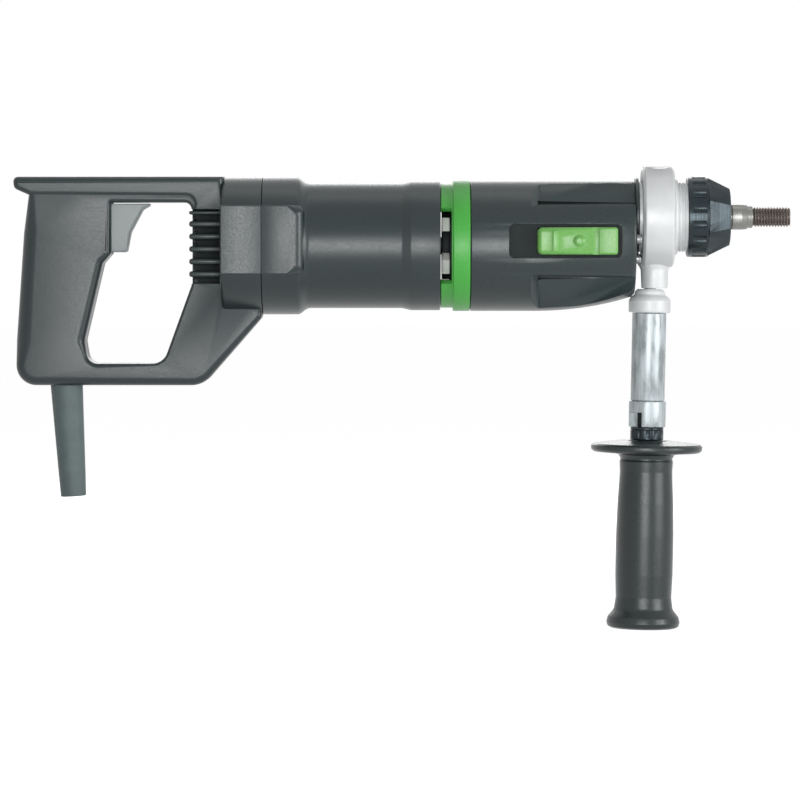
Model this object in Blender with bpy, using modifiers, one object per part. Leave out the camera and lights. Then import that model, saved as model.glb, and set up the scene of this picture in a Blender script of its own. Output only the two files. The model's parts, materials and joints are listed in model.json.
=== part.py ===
"""Hand-held core drill with a D-shaped rear grip and a swivelling side handle.

Lengths are in millimetres, and the shape helpers turn them into metres with MM. +X points from the
grip to the spindle, +Z is up, and the origin is the centre of the spindle's end face.
"""

import math

import bmesh
import bpy
from mathutils import Matrix

MM = 0.001
FIT = 0.3  # gap left between pieces that touch each other
PRESS_GAP = 0.15  # gap left around a shaft by what is pressed onto it

# Overall layout along X, from the spindle's end face backwards
SPINDLE_RELIEF_X = -26.6
SPINDLE_SHOULDER_X = -30.8
RING_FRONT_X = -42.2
RING_CONE_X = -57.0
NECK_END_X = -48.5
NECK_STEP_X = -69.0
RING_REAR_X = -72.1
COLLAR_FRONT_X = -81.2
COLLAR_REAR_X = -103.6
GEARCASE_FRONT_X = -108.7
POCKET_REAR_X = -180.8
GEARCASE_REAR_X = -223.3
FLANGE_STEP_X = -235.5
FLANGE_REAR_X = -243.9
MOTOR_COLLAR_X = -264.6
MOTOR_FLARE_X = -270.9
MOTOR_TUBE_X = -336.7
MOTOR_WIDE_X = -342.3
SHELL_FRONT_X = -368.2
SHELL_BARREL_X = -396.2
OPENING_FRONT_X = -417.2
GRIP_FRONT_X = -473.2
GRIP_TIP_X = -541.8

# Shafts: the spindle's axis is at y = z = 0
MOTOR_DROP = 20.1
MOTOR_Z = -MOTOR_DROP
GEAR_MODULE = 1.25
PINION_TEETH, DRIVEN_TEETH = 8, 28
LOW_TEETH, LOW_GEAR_TEETH = 12, 24
HIGH_TEETH, HIGH_GEAR_TEETH = 16, 20

# Radii
BARREL_R = 47.9
MOTOR_R = 43.5
MOTOR_COLLAR_R = 45.0
FLANGE_R = 45.5
FLANGE_REAR_R = 43.2
GEARCASE_FRONT_R = 40.2
NECK_R = 24.3
NECK_STEP = 4.3
NECK_SPIGOT_R = NECK_R - NECK_STEP
NECK_FLANGE_R = NECK_R + 3.2
RING_CLEARANCE = 0.4
RING_R = NECK_R + RING_CLEARANCE + 3.2
RING_NOSE_R = NECK_SPIGOT_R
COLLAR_R = NECK_R + FIT + 10.4
SPINDLE_NOSE_R = 8.85
SPINDLE_RELIEF_R = 7.7
THREAD_R = 7.0
WALL = 3.5
SHELL_WALL = 3.0
BARREL_BORE_R = BARREL_R - WALL
MOTOR_BORE_R = MOTOR_R - WALL
GEARCASE_BORE_R = FLANGE_R - WALL

# Bearings: outer radius, bore radius and width
MOTOR_BEARING = (13.0, 5.0, 8.0)
REAR_BEARING = (11.0, 4.0, 7.0)
SHAFT_BEARING = (8.0, 4.0, 5.0)
SPINDLE_REAR_BEARING = (11.0, 6.0, 7.0)
SPINDLE_BEARING = (20.0, 10.0, 12.0)

# Grip
GRIP_HALF_W = 20.0
GRIP_TOP_Z = MOTOR_Z + BARREL_R + 0.2
GRIP_BOTTOM_Z = -117.2
OPENING_TOP_Z = 10.0
OPENING_BOTTOM_Z = -102.0
PARTING = 0.15  # half of the gap between the two shells

# Vents, pads and side panel
VENT_COUNT = 6
VENT_PITCH = 8.7
VENT_H = 4.6
VENT_TOP_Z = -0.6
PAD_TOP_Z = 7.9
PAD_BOTTOM_Z = -39.7
PAD_FRONT_X = -338.1
PAD_HALF_W = BARREL_R + 0.4
RECESS_REAR_X = -197.2
RECESS_FRONT_X = -118.5
RECESS_TOP_Z = -4.6
RECESS_BOTTOM_Z = -28.9
RECESS_FLOOR_Y = -38.6

# Selector
SELECTOR_TRAVEL = 19.0
SLIDE_REAR_X = -177.7
SLIDE_FRONT_X = -122.0
SLIDE_H = 19.0
FORK_X = (-157.0, -151.0)
FORK_HALF_H = 2.1

# Side handle, along its own axis below the collar
RAKE = math.radians(1.1)
HANDLE_X = -97.6
HANDLE_TOP_Z = -50.0
BOSS_X = -94.5
BOSS_R = 9.1
NUT_R = 14.6
TUBE_R = 11.9
SLEEVE_R = 12.9
GUARD_R = 38.85
ROD_R = 4.0
ROD_CLEARANCE = 0.4
ROD_TOP_Z = -NECK_R - 9.7
NUT_BOTTOM_Z = -66.8
TUBE_BOTTOM_Z = -128.2
SLEEVE_BOTTOM_Z = -146.6
FERRULE_BOTTOM_Z = -155.6
GUARD_BOTTOM_Z = -164.3
GRIP_END_Z = -287.5

# Trigger
TRIGGER_TRAVEL = 6.5
TRIGGER_HALF_W = 9.0
TRIGGER_REAR_X = GRIP_FRONT_X - 9.2
TRIGGER_BOTTOM_Z = -24.6
SWITCH_REAR_X = -520.0

COLOURS = {
    "shell": ((0.045, 0.055, 0.058), 0.5, 0.0),
    "green": ((0.08, 0.48, 0.08), 0.4, 0.0),
    "lime": ((0.22, 0.58, 0.12), 0.35, 0.0),
    "grey": ((0.32, 0.35, 0.36), 0.45, 0.0),
    "rubber": ((0.05, 0.06, 0.06), 0.8, 0.0),
    "cast": ((0.72, 0.74, 0.75), 0.4, 0.8),
    "steel": ((0.5, 0.5, 0.49), 0.3, 1.0),
    "dark_steel": ((0.06, 0.07, 0.075), 0.35, 0.9),
    "copper": ((0.7, 0.3, 0.12), 0.35, 1.0),
    "brass": ((0.7, 0.5, 0.2), 0.35, 1.0),
    "carbon": ((0.03, 0.03, 0.03), 0.7, 0.0),
    "pale": ((0.7, 0.72, 0.68), 0.5, 0.0),
}

AXIS_TURN = {"X": (0, math.pi / 2, 0), "Y": (-math.pi / 2, 0, 0), "Z": (0, 0, 0)}
PLANE_TURN = {"XZ": (math.pi / 2, 0, 0), "YZ": (math.pi / 2, 0, math.pi / 2)}


# ---------------------------------------------------------------- scene helpers

def clear_scene():
    for obj in list(bpy.data.objects):
        bpy.data.objects.remove(obj, do_unlink=True)


def new_collection(name):
    found = bpy.data.collections.new(name)
    bpy.context.scene.collection.children.link(found)
    return found


def material(name):
    found = bpy.data.materials.get(name)
    if found:
        return found
    colour, roughness, metallic = COLOURS[name]
    made = bpy.data.materials.new(name)
    made.use_nodes = True
    shader = made.node_tree.nodes["Principled BSDF"]
    shader.inputs["Base Color"].default_value = (*colour, 1)
    shader.inputs["Roughness"].default_value = roughness
    shader.inputs["Metallic"].default_value = metallic
    return made


clear_scene()
PARTS = new_collection("core_drill_rig")
CUTTERS = new_collection("cutters")


def place(mesh, name, finish, location, turn):
    """A new object in the parts, or in the cutters where it has no finish."""
    obj = bpy.data.objects.new(name, mesh)
    if finish:
        PARTS.objects.link(obj)
        mesh.materials.append(material(finish))
    else:
        CUTTERS.objects.link(obj)
        obj.hide_render = True
        obj.display_type = "WIRE"
    obj.location = [value * MM for value in location]
    obj.rotation_euler = turn
    return obj


def smooth(obj):
    obj.data.shade_smooth()
    obj.data.set_sharp_from_angle(angle=math.radians(35))
    return obj


def to_cutter(obj):
    """Takes a shape out of the parts, so that it only adds to or cuts another."""
    for owner in obj.users_collection:
        owner.objects.unlink(obj)
    CUTTERS.objects.link(obj)
    obj.hide_render = True
    obj.display_type = "WIRE"
    return obj


def combine(obj, other, operation):
    step = obj.modifiers.new(other.name, "BOOLEAN")
    step.operation = operation
    step.solver = "EXACT"
    step.object = to_cutter(other)
    return obj


def cut(obj, *others):
    for other in others:
        combine(obj, other, "DIFFERENCE")
    return obj


def join(obj, *others):
    for other in others:
        combine(obj, other, "UNION")
    return obj


# ---------------------------------------------------------------- shape helpers

def box(name, low, high, finish=None, bevel=0.0):
    """A box between two corners, with its edges rounded off by bevel."""
    mesh = bpy.data.meshes.new(name)
    built = bmesh.new()
    bmesh.ops.create_cube(built, size=1.0)
    size = [(b - a) * MM for a, b in zip(low, high)]
    bmesh.ops.scale(built, vec=size, verts=built.verts)
    if bevel:
        bmesh.ops.bevel(
            built, geom=built.edges[:], offset=bevel * MM, segments=2, affect="EDGES", profile=0.5)
    built.to_mesh(mesh)
    built.free()
    centre = [(a + b) / 2 for a, b in zip(low, high)]
    return place(mesh, name, finish, centre, (0, 0, 0))


def rod(name, radius, start, end, axis="X", centre=(0, 0), finish=None, sides=24, end_radius=None):
    """A cylinder or cone along an axis from start to end; centre is its place on the other two axes."""
    mesh = bpy.data.meshes.new(name)
    built = bmesh.new()
    bmesh.ops.create_cone(
        built, cap_ends=True, segments=sides, radius1=radius * MM,
        radius2=(radius if end_radius is None else end_radius) * MM, depth=(end - start) * MM)
    built.to_mesh(mesh)
    built.free()
    middle = (start + end) / 2
    location = {"X": (middle, *centre), "Y": (centre[0], middle, centre[1]), "Z": (*centre, middle)}
    return smooth(place(mesh, name, finish, location[axis], AXIS_TURN[axis]))


def lathe(name, profile, axis="X", centre=(0, 0), finish=None, steps=28):
    """Turns a profile of (distance along the axis, radius) points into a solid.

    A profile whose two ends lie on the axis is closed by it; any other is a ring's cross-section.
    """
    points = [(radius, along) for along, radius in profile]
    solid = points[0][0] == 0 and points[-1][0] == 0
    twice_area = sum(
        a[0] * b[1] - b[0] * a[1] for a, b in zip(points, points[1:] + points[:1]))
    if twice_area > 0:
        points.reverse()
    count = len(points)
    edges = [(i, (i + 1) % count) for i in range(count - 1 if solid else count)]
    mesh = bpy.data.meshes.new(name)
    mesh.from_pydata([(r * MM, 0, along * MM) for r, along in points], edges, [])
    location = {"X": (0, *centre), "Y": (centre[0], 0, centre[1]), "Z": (*centre, 0)}
    obj = place(mesh, name, finish, location[axis], AXIS_TURN[axis])
    screw = obj.modifiers.new("turn", "SCREW")
    screw.axis = "Z"
    screw.angle = math.tau
    screw.steps = screw.render_steps = steps
    screw.use_merge_vertices = True
    screw.merge_threshold = 0.00001
    screw.use_smooth_shade = True
    return obj


def ring(name, outer, inner, start, end, axis="X", centre=(0, 0), finish=None, steps=28):
    profile = [(end, outer), (start, outer), (start, inner), (end, inner)]
    return lathe(name, profile, axis, centre, finish, steps)


def rounded(corners, steps=4):
    """An outline from (x, y, fillet radius) corners, with each fillet as an arc."""
    outline = []
    count = len(corners)
    for i, (x, y, radius) in enumerate(corners):
        if not radius:
            outline.append((x, y))
            continue
        before, after = corners[i - 1], corners[(i + 1) % count]
        back = (before[0] - x, before[1] - y)
        ahead = (after[0] - x, after[1] - y)
        back_length, ahead_length = math.hypot(*back), math.hypot(*ahead)
        back = (back[0] / back_length, back[1] / back_length)
        ahead = (ahead[0] / ahead_length, ahead[1] / ahead_length)
        half = math.acos(max(-1, min(1, back[0] * ahead[0] + back[1] * ahead[1]))) / 2
        reach = min(radius / math.tan(half), 0.48 * back_length, 0.48 * ahead_length)
        radius = reach * math.tan(half)
        middle = (back[0] + ahead[0], back[1] + ahead[1])
        middle_length = math.hypot(*middle)
        far = radius / math.sin(half)
        centre = (x + middle[0] / middle_length * far, y + middle[1] / middle_length * far)
        first = math.atan2(y + back[1] * reach - centre[1], x + back[0] * reach - centre[0])
        last = math.atan2(y + ahead[1] * reach - centre[1], x + ahead[0] * reach - centre[0])
        sweep = (last - first + math.pi) % math.tau - math.pi
        for step in range(steps + 1):
            angle = first + sweep * step / steps
            outline.append((centre[0] + radius * math.cos(angle), centre[1] + radius * math.sin(angle)))
    return outline


def plate(name, outlines, thickness, plane="XZ", centre=(0, 0, 0), finish=None, edge=0.0):
    """Extrudes flat outlines, of which the later ones are holes, evenly about their plane.

    edge is the width of the rounding along the outer edges of both faces.
    """
    curve = bpy.data.curves.new(name, "CURVE")
    curve.dimensions = "2D"
    curve.fill_mode = "BOTH"
    curve.extrude = (thickness / 2 - edge) * MM
    curve.bevel_depth = edge * MM
    curve.offset = -edge * MM
    curve.bevel_resolution = 1 if edge else 0
    for outline in outlines:
        spline = curve.splines.new("POLY")
        spline.points.add(len(outline) - 1)
        for point, (x, y) in zip(spline.points, outline):
            point.co = (x * MM, y * MM, 0, 1)
        spline.use_cyclic_u = True
    drawn = bpy.data.objects.new(name, curve)
    bpy.context.scene.collection.objects.link(drawn)
    graph = bpy.context.evaluated_depsgraph_get()
    mesh = bpy.data.meshes.new_from_object(drawn.evaluated_get(graph))
    bpy.data.objects.remove(drawn, do_unlink=True)
    built = bmesh.new()
    built.from_mesh(mesh)
    bmesh.ops.remove_doubles(built, verts=built.verts, dist=0.000001)
    bmesh.ops.recalc_face_normals(built, faces=built.faces)
    built.to_mesh(mesh)
    built.free()
    mesh.materials.clear()
    mesh.name = name
    return smooth(place(mesh, name, finish, centre, PLANE_TURN[plane]))


def sector(inner, outer, first, last, steps=12):
    """The outline of a piece of a ring between two angles in degrees."""
    angles = [math.radians(first + (last - first) * i / steps) for i in range(steps + 1)]
    outside = [(outer * math.cos(a), outer * math.sin(a)) for a in angles]
    inside = [(inner * math.cos(a), inner * math.sin(a)) for a in reversed(angles)]
    return outside + inside


def circle(radius, steps=32, centre=(0, 0)):
    return [(centre[0] + radius * math.cos(math.tau * i / steps),
             centre[1] + radius * math.sin(math.tau * i / steps)) for i in range(steps)]


def gear(name, teeth, start, end, centre, bore, finish, tooth_angle):
    """A spur gear along X whose first tooth points along tooth_angle, in degrees from +Y to +Z."""
    pitch_r = teeth * GEAR_MODULE / 2
    tip_r = gear_outer_r(teeth)
    root_r = pitch_r - 1.1 * GEAR_MODULE
    pitch = math.tau / teeth
    outline = []
    for tooth in range(teeth):
        middle = math.radians(tooth_angle) + tooth * pitch
        for radius, share in ((root_r, -0.24), (tip_r, -0.08), (tip_r, 0.08), (root_r, 0.24)):
            angle = middle + share * pitch
            outline.append((radius * math.cos(angle), radius * math.sin(angle)))
    outlines = [outline, circle(bore, 24)] if bore else [outline]
    return plate(name, outlines, end - start, "YZ", ((start + end) / 2, *centre), finish)


def gear_outer_r(teeth):
    return teeth * GEAR_MODULE / 2 + 0.75 * GEAR_MODULE


def bearing(name, size, start, centre):
    """A sealed ball bearing, as the one ring that its races and seals fill."""
    outer, bore, width = size
    return ring(name, outer - FIT, bore + PRESS_GAP, start, start + width, "X", centre, "steel", 28)


def screw_y(name, x, z, head_y, end_y, shank_r, head_r, head_h):
    """A cap screw along Y, with its head outwards at head_y and its shank reaching to end_y."""
    inward = 1 if end_y > head_y else -1
    seat = head_y + inward * head_h
    profile = [
        (head_y, 0), (head_y, head_r), (seat, head_r), (seat, shank_r),
        (end_y - inward, shank_r), (end_y, shank_r * 0.6), (end_y, 0)]
    return lathe(name, profile, "Y", (x, z), "steel", 12)


# ---------------------------------------------------------------- shafts' places

STAGE_1 = (PINION_TEETH + DRIVEN_TEETH) * GEAR_MODULE / 2
STAGE_2 = (LOW_TEETH + LOW_GEAR_TEETH) * GEAR_MODULE / 2
SHAFT_UP = (STAGE_1 ** 2 - STAGE_2 ** 2 + MOTOR_DROP ** 2) / (2 * MOTOR_DROP)
SHAFT_SIDE = math.sqrt(STAGE_1 ** 2 - SHAFT_UP ** 2)
MOTOR = (0, MOTOR_Z)
SPINDLE = (0, 0)
SHAFT = (-SHAFT_SIDE, MOTOR_Z + SHAFT_UP)
MOTOR_TO_SHAFT = math.degrees(math.atan2(SHAFT[1] - MOTOR_Z, SHAFT[0]))
SPINDLE_TO_SHAFT = math.degrees(math.atan2(SHAFT[1], SHAFT[0]))


# ---------------------------------------------------------------- rear grip

GRIP_OUTLINE = [
    (GRIP_TIP_X, GRIP_TOP_Z, 5), (SHELL_BARREL_X + 1, GRIP_TOP_Z, 0), (SHELL_BARREL_X + 1, -50, 0),
    (SHELL_FRONT_X, -50, 0), (SHELL_FRONT_X, MOTOR_Z - BARREL_R - 1.8, 1.5),
    (-409.4, GRIP_BOTTOM_Z, 18), (GRIP_TIP_X + 2.3, GRIP_BOTTOM_Z, 13), (GRIP_TIP_X + 2.3, -86, 40),
    (GRIP_TIP_X + 7.6, -10.3, 60), (GRIP_TIP_X + 12.6, GRIP_TOP_Z - 14.5, 4),
    (GRIP_TIP_X + 1.3, GRIP_TOP_Z - 8.5, 3)]
OPENING_OUTLINE = [
    (GRIP_FRONT_X, OPENING_TOP_Z, 0.5), (OPENING_FRONT_X, OPENING_TOP_Z, 5),
    (OPENING_FRONT_X, -47.4, 5), (-437.0, OPENING_BOTTOM_Z, 11), (-489.5, OPENING_BOTTOM_Z, 8),
    (-491.6, -86, 8), (-479.0, -32.5, 4), (GRIP_FRONT_X, -25.6, 1.5)]
HOLLOW_BOTTOM_Z = GRIP_BOTTOM_Z + 3.6
HOLLOW_FRONT_X = SHELL_BARREL_X + 2.2
GRIP_HOLLOW = [
    (GRIP_TIP_X + 14.8, 12.5, 4), (GRIP_TIP_X + 24.8, GRIP_TOP_Z - 3.5, 2),
    (HOLLOW_FRONT_X, GRIP_TOP_Z - 3.5, 0), (HOLLOW_FRONT_X, MOTOR_Z - BARREL_R + 2.0, 0),
    (-411.5, HOLLOW_BOTTOM_Z, 12), (GRIP_TIP_X + 7.8, HOLLOW_BOTTOM_Z, 8),
    (GRIP_TIP_X + 6.2, -86, 30), (GRIP_TIP_X + 11.2, -10.3, 50)]
HOLLOW_ISLAND = [
    (GRIP_FRONT_X - 3.5, OPENING_TOP_Z + 3.2, 2), (OPENING_FRONT_X + 3.2, OPENING_TOP_Z + 3.2, 5),
    (OPENING_FRONT_X + 3.2, -48.0, 5), (-434.0, OPENING_BOTTOM_Z - 3.2, 12),
    (-492.5, OPENING_BOTTOM_Z - 3.2, 9), (-495.2, -86, 8), (-482.6, -31.0, 4),
    (GRIP_FRONT_X - 3.5, -24.0, 2)]
GRIP_SCREWS = [
    (GRIP_TIP_X + 21.8, 16.0), (GRIP_TIP_X + 13.8, -96.0), (-432.0, -109.2), (-402.5, 19.0)]
GRIP_BOSS_R = 4.2
SCREW_SHANK_R, SCREW_HEAD_R = 1.8, 3.6
CORD_X, CORD_TILT, CORD_R, SLEEVE_LENGTH = -505.4, math.radians(3.4), 4.6, 78.0
SLEEVE_TOP_R, SLEEVE_END_R = 11.2, 8.8
CLAMP_X, CLAMP_Z = CORD_X - 1.1, -99.0
CLAMP_HALF_L, CLAMP_HALF_H = 10.2, 4.5
CLAMP_SCREWS_X = (CLAMP_X - 7.4, CLAMP_X + 7.4)


def grip_hollow():
    """The space inside the two shells, around a solid island at the opening."""
    width = 2 * (GRIP_HALF_W - SHELL_WALL)
    hollow = plate("grip_hollow", [rounded(GRIP_HOLLOW, 3), rounded(HOLLOW_ISLAND, 3)], width)
    for number, (x, z) in enumerate(GRIP_SCREWS):
        cut(hollow, rod(f"grip_boss_{number}", GRIP_BOSS_R, -GRIP_HALF_W, GRIP_HALF_W, "Y", (x, z),
                        sides=16))
    return hollow


def vent_slots(side):
    """Air slots through the side wall and the wall towards the hand opening."""
    slots = []
    for number in range(VENT_COUNT):
        middle = VENT_TOP_Z - number * VENT_PITCH
        near, far = sorted((side * 8.0, side * (GRIP_HALF_W + 2)))
        slots.append(box(
            f"vent_slot_{number}", (OPENING_FRONT_X - 1, near, middle - VENT_H / 2),
            (SHELL_BARREL_X - 1.2, far, middle + VENT_H / 2)))
    return slots


def handle_shell(name, side):
    """One half of the grip with its half of the barrel; side is -1 at -Y and 1 at +Y."""
    shell = plate(
        name, [rounded(GRIP_OUTLINE), rounded(OPENING_OUTLINE)], 2 * GRIP_HALF_W, finish="shell",
        edge=2.5)
    barrel = lathe("shell_barrel", [
        (SHELL_FRONT_X, 0), (SHELL_FRONT_X, BARREL_R), (SHELL_BARREL_X + 2, BARREL_R),
        (SHELL_BARREL_X, BARREL_R - 2), (SHELL_BARREL_X, 0)], "X", MOTOR, steps=40)
    pad = box("shell_pad", (SHELL_BARREL_X, -PAD_HALF_W, PAD_BOTTOM_Z),
              (SHELL_FRONT_X, PAD_HALF_W, PAD_TOP_Z))
    bore = rod("shell_bore", BARREL_BORE_R, SHELL_BARREL_X + SHELL_WALL, 0, "X", MOTOR, sides=40)
    far_side = box("far_half", (-700, -PARTING if side < 0 else -200, -300),
                   (100, 200 if side < 0 else PARTING, 300))
    trigger_slot = box(
        "trigger_slot", (GRIP_FRONT_X - 6, -TRIGGER_HALF_W - 0.4, -25.0),
        (GRIP_FRONT_X + 2, TRIGGER_HALF_W + 0.4, OPENING_TOP_Z - 0.2))
    sleeve_hole = rod("sleeve_hole", SLEEVE_TOP_R + 0.6, -125, -110, "Z", (CORD_X, 0))
    join(shell, barrel, pad)
    cut(shell, grip_hollow(), bore, far_side, trigger_slot, sleeve_hole, *vent_slots(side))
    for number, (x, z) in enumerate(GRIP_SCREWS):
        cut(shell, rod(f"screw_hole_{number}", SCREW_SHANK_R + FIT, -14, GRIP_HALF_W + 1, "Y", (x, z),
                       sides=16))
        if side > 0:
            cut(shell, rod(f"head_hole_{number}", SCREW_HEAD_R + FIT, 15.5, GRIP_HALF_W + 1, "Y", (x, z),
                           sides=20))
    cut(shell, *[
        rod(f"clamp_hole_{number}", 1.5, -19, -15, "Y", (x, CLAMP_Z), sides=12)
        for number, x in enumerate(CLAMP_SCREWS_X)])
    return shell


def build_grip():
    handle_shell("handle_shell_left", -1)
    handle_shell("handle_shell_right", 1)
    for number, (x, z) in enumerate(GRIP_SCREWS, 1):
        screw_y(f"handle_screw_{number}", x, z, 18.6, -12.5, SCREW_SHANK_R, SCREW_HEAD_R, 2.8)
    top = OPENING_TOP_Z - 0.7
    trigger_outline = [
        (TRIGGER_REAR_X, top, 0), (GRIP_FRONT_X + 29.4, top, 1.0), (GRIP_FRONT_X + 21.7, top - 4.3, 4),
        (GRIP_FRONT_X + 13.2, -11.0, 12), (GRIP_FRONT_X + 10.6, TRIGGER_BOTTOM_Z, 1.5),
        (TRIGGER_REAR_X, TRIGGER_BOTTOM_Z, 0)]
    plate("trigger", [rounded(trigger_outline)], 2 * TRIGGER_HALF_W, finish="grey", edge=1.2)
    inside = GRIP_HALF_W - SHELL_WALL - FIT
    box("switch_module", (SWITCH_REAR_X, -inside, -34.0),
        (TRIGGER_REAR_X - TRIGGER_TRAVEL - FIT, inside, 6.0), "carbon", 1.5)
    cord_sleeve()
    clamp = box("cord_clamp", (CLAMP_X - CLAMP_HALF_L, -inside, CLAMP_Z - CLAMP_HALF_H),
                (CLAMP_X + CLAMP_HALF_L, -10.2, CLAMP_Z + CLAMP_HALF_H), "carbon")
    cut(clamp, *[rod(f"clamp_pin_{n}", 1.6, -30, 0, "Y", (x, CLAMP_Z), sides=12)
                 for n, x in enumerate(CLAMP_SCREWS_X)])
    cut(clamp, rod("cord_groove", 4.2, -120, -80, "Z", (CLAMP_X, -7.5)))
    for number, x in enumerate(CLAMP_SCREWS_X, 1):
        screw_y(f"clamp_screw_{number}", x, CLAMP_Z, -8.0, -18.6, 1.2, 2.6, 1.9)


def cord_sleeve():
    """The rubber guard for the cord: a flange inside the grip, then a long taper."""
    flange_r, flange_h = SLEEVE_TOP_R + 1.8, 2.5
    seat = HOLLOW_BOTTOM_Z + FIT + flange_r * math.sin(CORD_TILT)
    profile = [
        (seat + flange_h, flange_r), (seat, flange_r), (seat, SLEEVE_TOP_R),
        (GRIP_BOTTOM_Z - 1, SLEEVE_TOP_R), (GRIP_BOTTOM_Z - SLEEVE_LENGTH, SLEEVE_END_R),
        (GRIP_BOTTOM_Z - SLEEVE_LENGTH, CORD_R), (seat + flange_h, CORD_R)]
    sleeve = lathe("cord_sleeve", profile, "Z", (CORD_X, 0), "rubber", 24)
    pivot = Matrix.Translation((CORD_X * MM, 0, GRIP_BOTTOM_Z * MM))
    lean = pivot @ Matrix.Rotation(-CORD_TILT, 4, "Y") @ pivot.inverted()
    sleeve.matrix_world = lean @ Matrix.Translation(sleeve.location)


# ---------------------------------------------------------------- motor

SPIDER_REAR_X = SHELL_FRONT_X + FIT
SPIDER_FRONT_X = -360.0
COMMUTATOR = (-356.0, -340.0, 14.0)
BRUSH_X = -349.0
STATOR = (-330.0, -262.0)
ARMATURE_R = 24.0
SLOT_FLOOR_R = 21.0
PINION_SHAFT_R = 3.2
FAN = (-243.2, -236.2, 34.0)
FAN_BLADES, FAN_SWEEP = 7, 0.35
BULKHEAD = (-234.0, -224.0)


def build_motor_housing():
    outer = [
        (FLANGE_REAR_X - FIT, 0), (FLANGE_REAR_X - FIT, MOTOR_COLLAR_R), (MOTOR_COLLAR_X, MOTOR_COLLAR_R),
        (MOTOR_FLARE_X, MOTOR_R), (MOTOR_TUBE_X, MOTOR_R), (MOTOR_WIDE_X, BARREL_R),
        (SPIDER_REAR_X, BARREL_R), (SPIDER_REAR_X, 0)]
    housing = lathe("motor_housing", outer, "X", MOTOR, "shell", 40)
    pad = box("motor_pad", (SPIDER_REAR_X, -PAD_HALF_W, PAD_BOTTOM_Z),
              (PAD_FRONT_X, PAD_HALF_W, PAD_TOP_Z))
    seat_r = REAR_BEARING[0]
    seat_x = SPIDER_FRONT_X - REAR_BEARING[2]
    bore = lathe("motor_bore", [
        (0, 0), (0, MOTOR_BORE_R), (MOTOR_TUBE_X, MOTOR_BORE_R), (MOTOR_WIDE_X, BARREL_BORE_R),
        (SPIDER_FRONT_X, BARREL_BORE_R), (SPIDER_FRONT_X, seat_r), (seat_x, seat_r),
        (seat_x, REAR_BEARING[1] + 2), (-400, REAR_BEARING[1] + 2), (-400, 0)], "X", MOTOR, steps=40)
    join(housing, pad)
    cut(housing, bore)
    for number in range(4):
        angle = math.radians(45 + 90 * number)
        centre = (28 * math.cos(angle), MOTOR_Z + 28 * math.sin(angle))
        cut(housing, rod(f"air_hole_{number}", 9, -400, -355, "X", centre, sides=16))


def build_stator():
    """A laminated ring with two poles, above and below the armature, and a coil around each pole."""
    start, end = STATOR
    pocket_r, pole_r, pole_half = 34.0, ARMATURE_R + 1.2, 50
    bore = sector(0.1, pole_r, 90 - pole_half, 90 + pole_half, 14)[:15]
    bore += sector(0.1, pocket_r, 90 + pole_half + 3, 270 - pole_half - 3, 12)[:13]
    bore += sector(0.1, pole_r, 270 - pole_half, 270 + pole_half, 14)[:15]
    bore += sector(0.1, pocket_r, 270 + pole_half + 3, 450 - pole_half - 3, 12)[:13]
    plate("stator_core", [circle(MOTOR_BORE_R - FIT, 48), bore], end - start, "YZ",
          ((start + end) / 2, *MOTOR), "steel")
    reach = 7.0
    for name, middle in (("field_coil_upper", 90), ("field_coil_lower", 270)):
        whole = sector(26.2, pocket_r - FIT, middle - 87.5, middle + 87.5, 20)
        window = sector(20.0, 40.0, middle - 58, middle + 58, 16)
        coil = plate(name, [whole], end - start + 2 * reach, "YZ", ((start + end) / 2, *MOTOR), "copper")
        cut(coil, plate("coil_window", [window], end - start + 2 * FIT, "YZ",
                        ((start + end) / 2, *MOTOR)))


def build_armature():
    rear = SPIDER_FRONT_X - REAR_BEARING[2] + 0.5
    low, high = REAR_BEARING[1], MOTOR_BEARING[1]
    lathe("armature_shaft", [
        (-205.0, 0), (-205.0, PINION_SHAFT_R), (-221.0, PINION_SHAFT_R), (-221.0, high),
        (BULKHEAD[0] - 0.5, high),
        (BULKHEAD[0] - 0.5, high + 1.2), (SPIDER_FRONT_X + 0.6, high + 1.2), (SPIDER_FRONT_X + 0.6, low),
        (rear, low), (rear, 0)], "X", MOTOR, "steel", 24)
    bore = high + 1.2 + PRESS_GAP
    slots = []
    count = 10
    for number in range(count):
        middle = 360 / count * number
        slots += sector(0.1, ARMATURE_R, middle - 13, middle + 13, 3)[:4]
        for turn in (14, 22):
            angle = math.radians(middle + turn)
            slots.append((SLOT_FLOOR_R * math.cos(angle), SLOT_FLOOR_R * math.sin(angle)))
    plate("armature_core", [slots, circle(bore, 24)], STATOR[1] - STATOR[0], "YZ",
          ((STATOR[0] + STATOR[1]) / 2, *MOTOR), "steel")
    start, end, radius = COMMUTATOR
    bars = []
    for number in range(16):
        angle = math.tau / 16 * number
        for share, depth in ((-0.44, 0), (0.44, 0), (0.46, 0.8), (0.54, 0.8)):
            turn = angle + share * math.tau / 16
            bars.append(((radius - depth) * math.cos(turn), (radius - depth) * math.sin(turn)))
    plate("commutator", [bars, circle(bore, 24)], end - start, "YZ", ((start + end) / 2, *MOTOR), "copper")
    build_fan(bore)
    bearing("motor_rear_bearing", REAR_BEARING, SPIDER_FRONT_X - REAR_BEARING[2], MOTOR)
    bearing("motor_front_bearing", MOTOR_BEARING, BULKHEAD[0], MOTOR)
    for side, name in ((-1, "left"), (1, "right")):
        brush(name, side)


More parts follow.
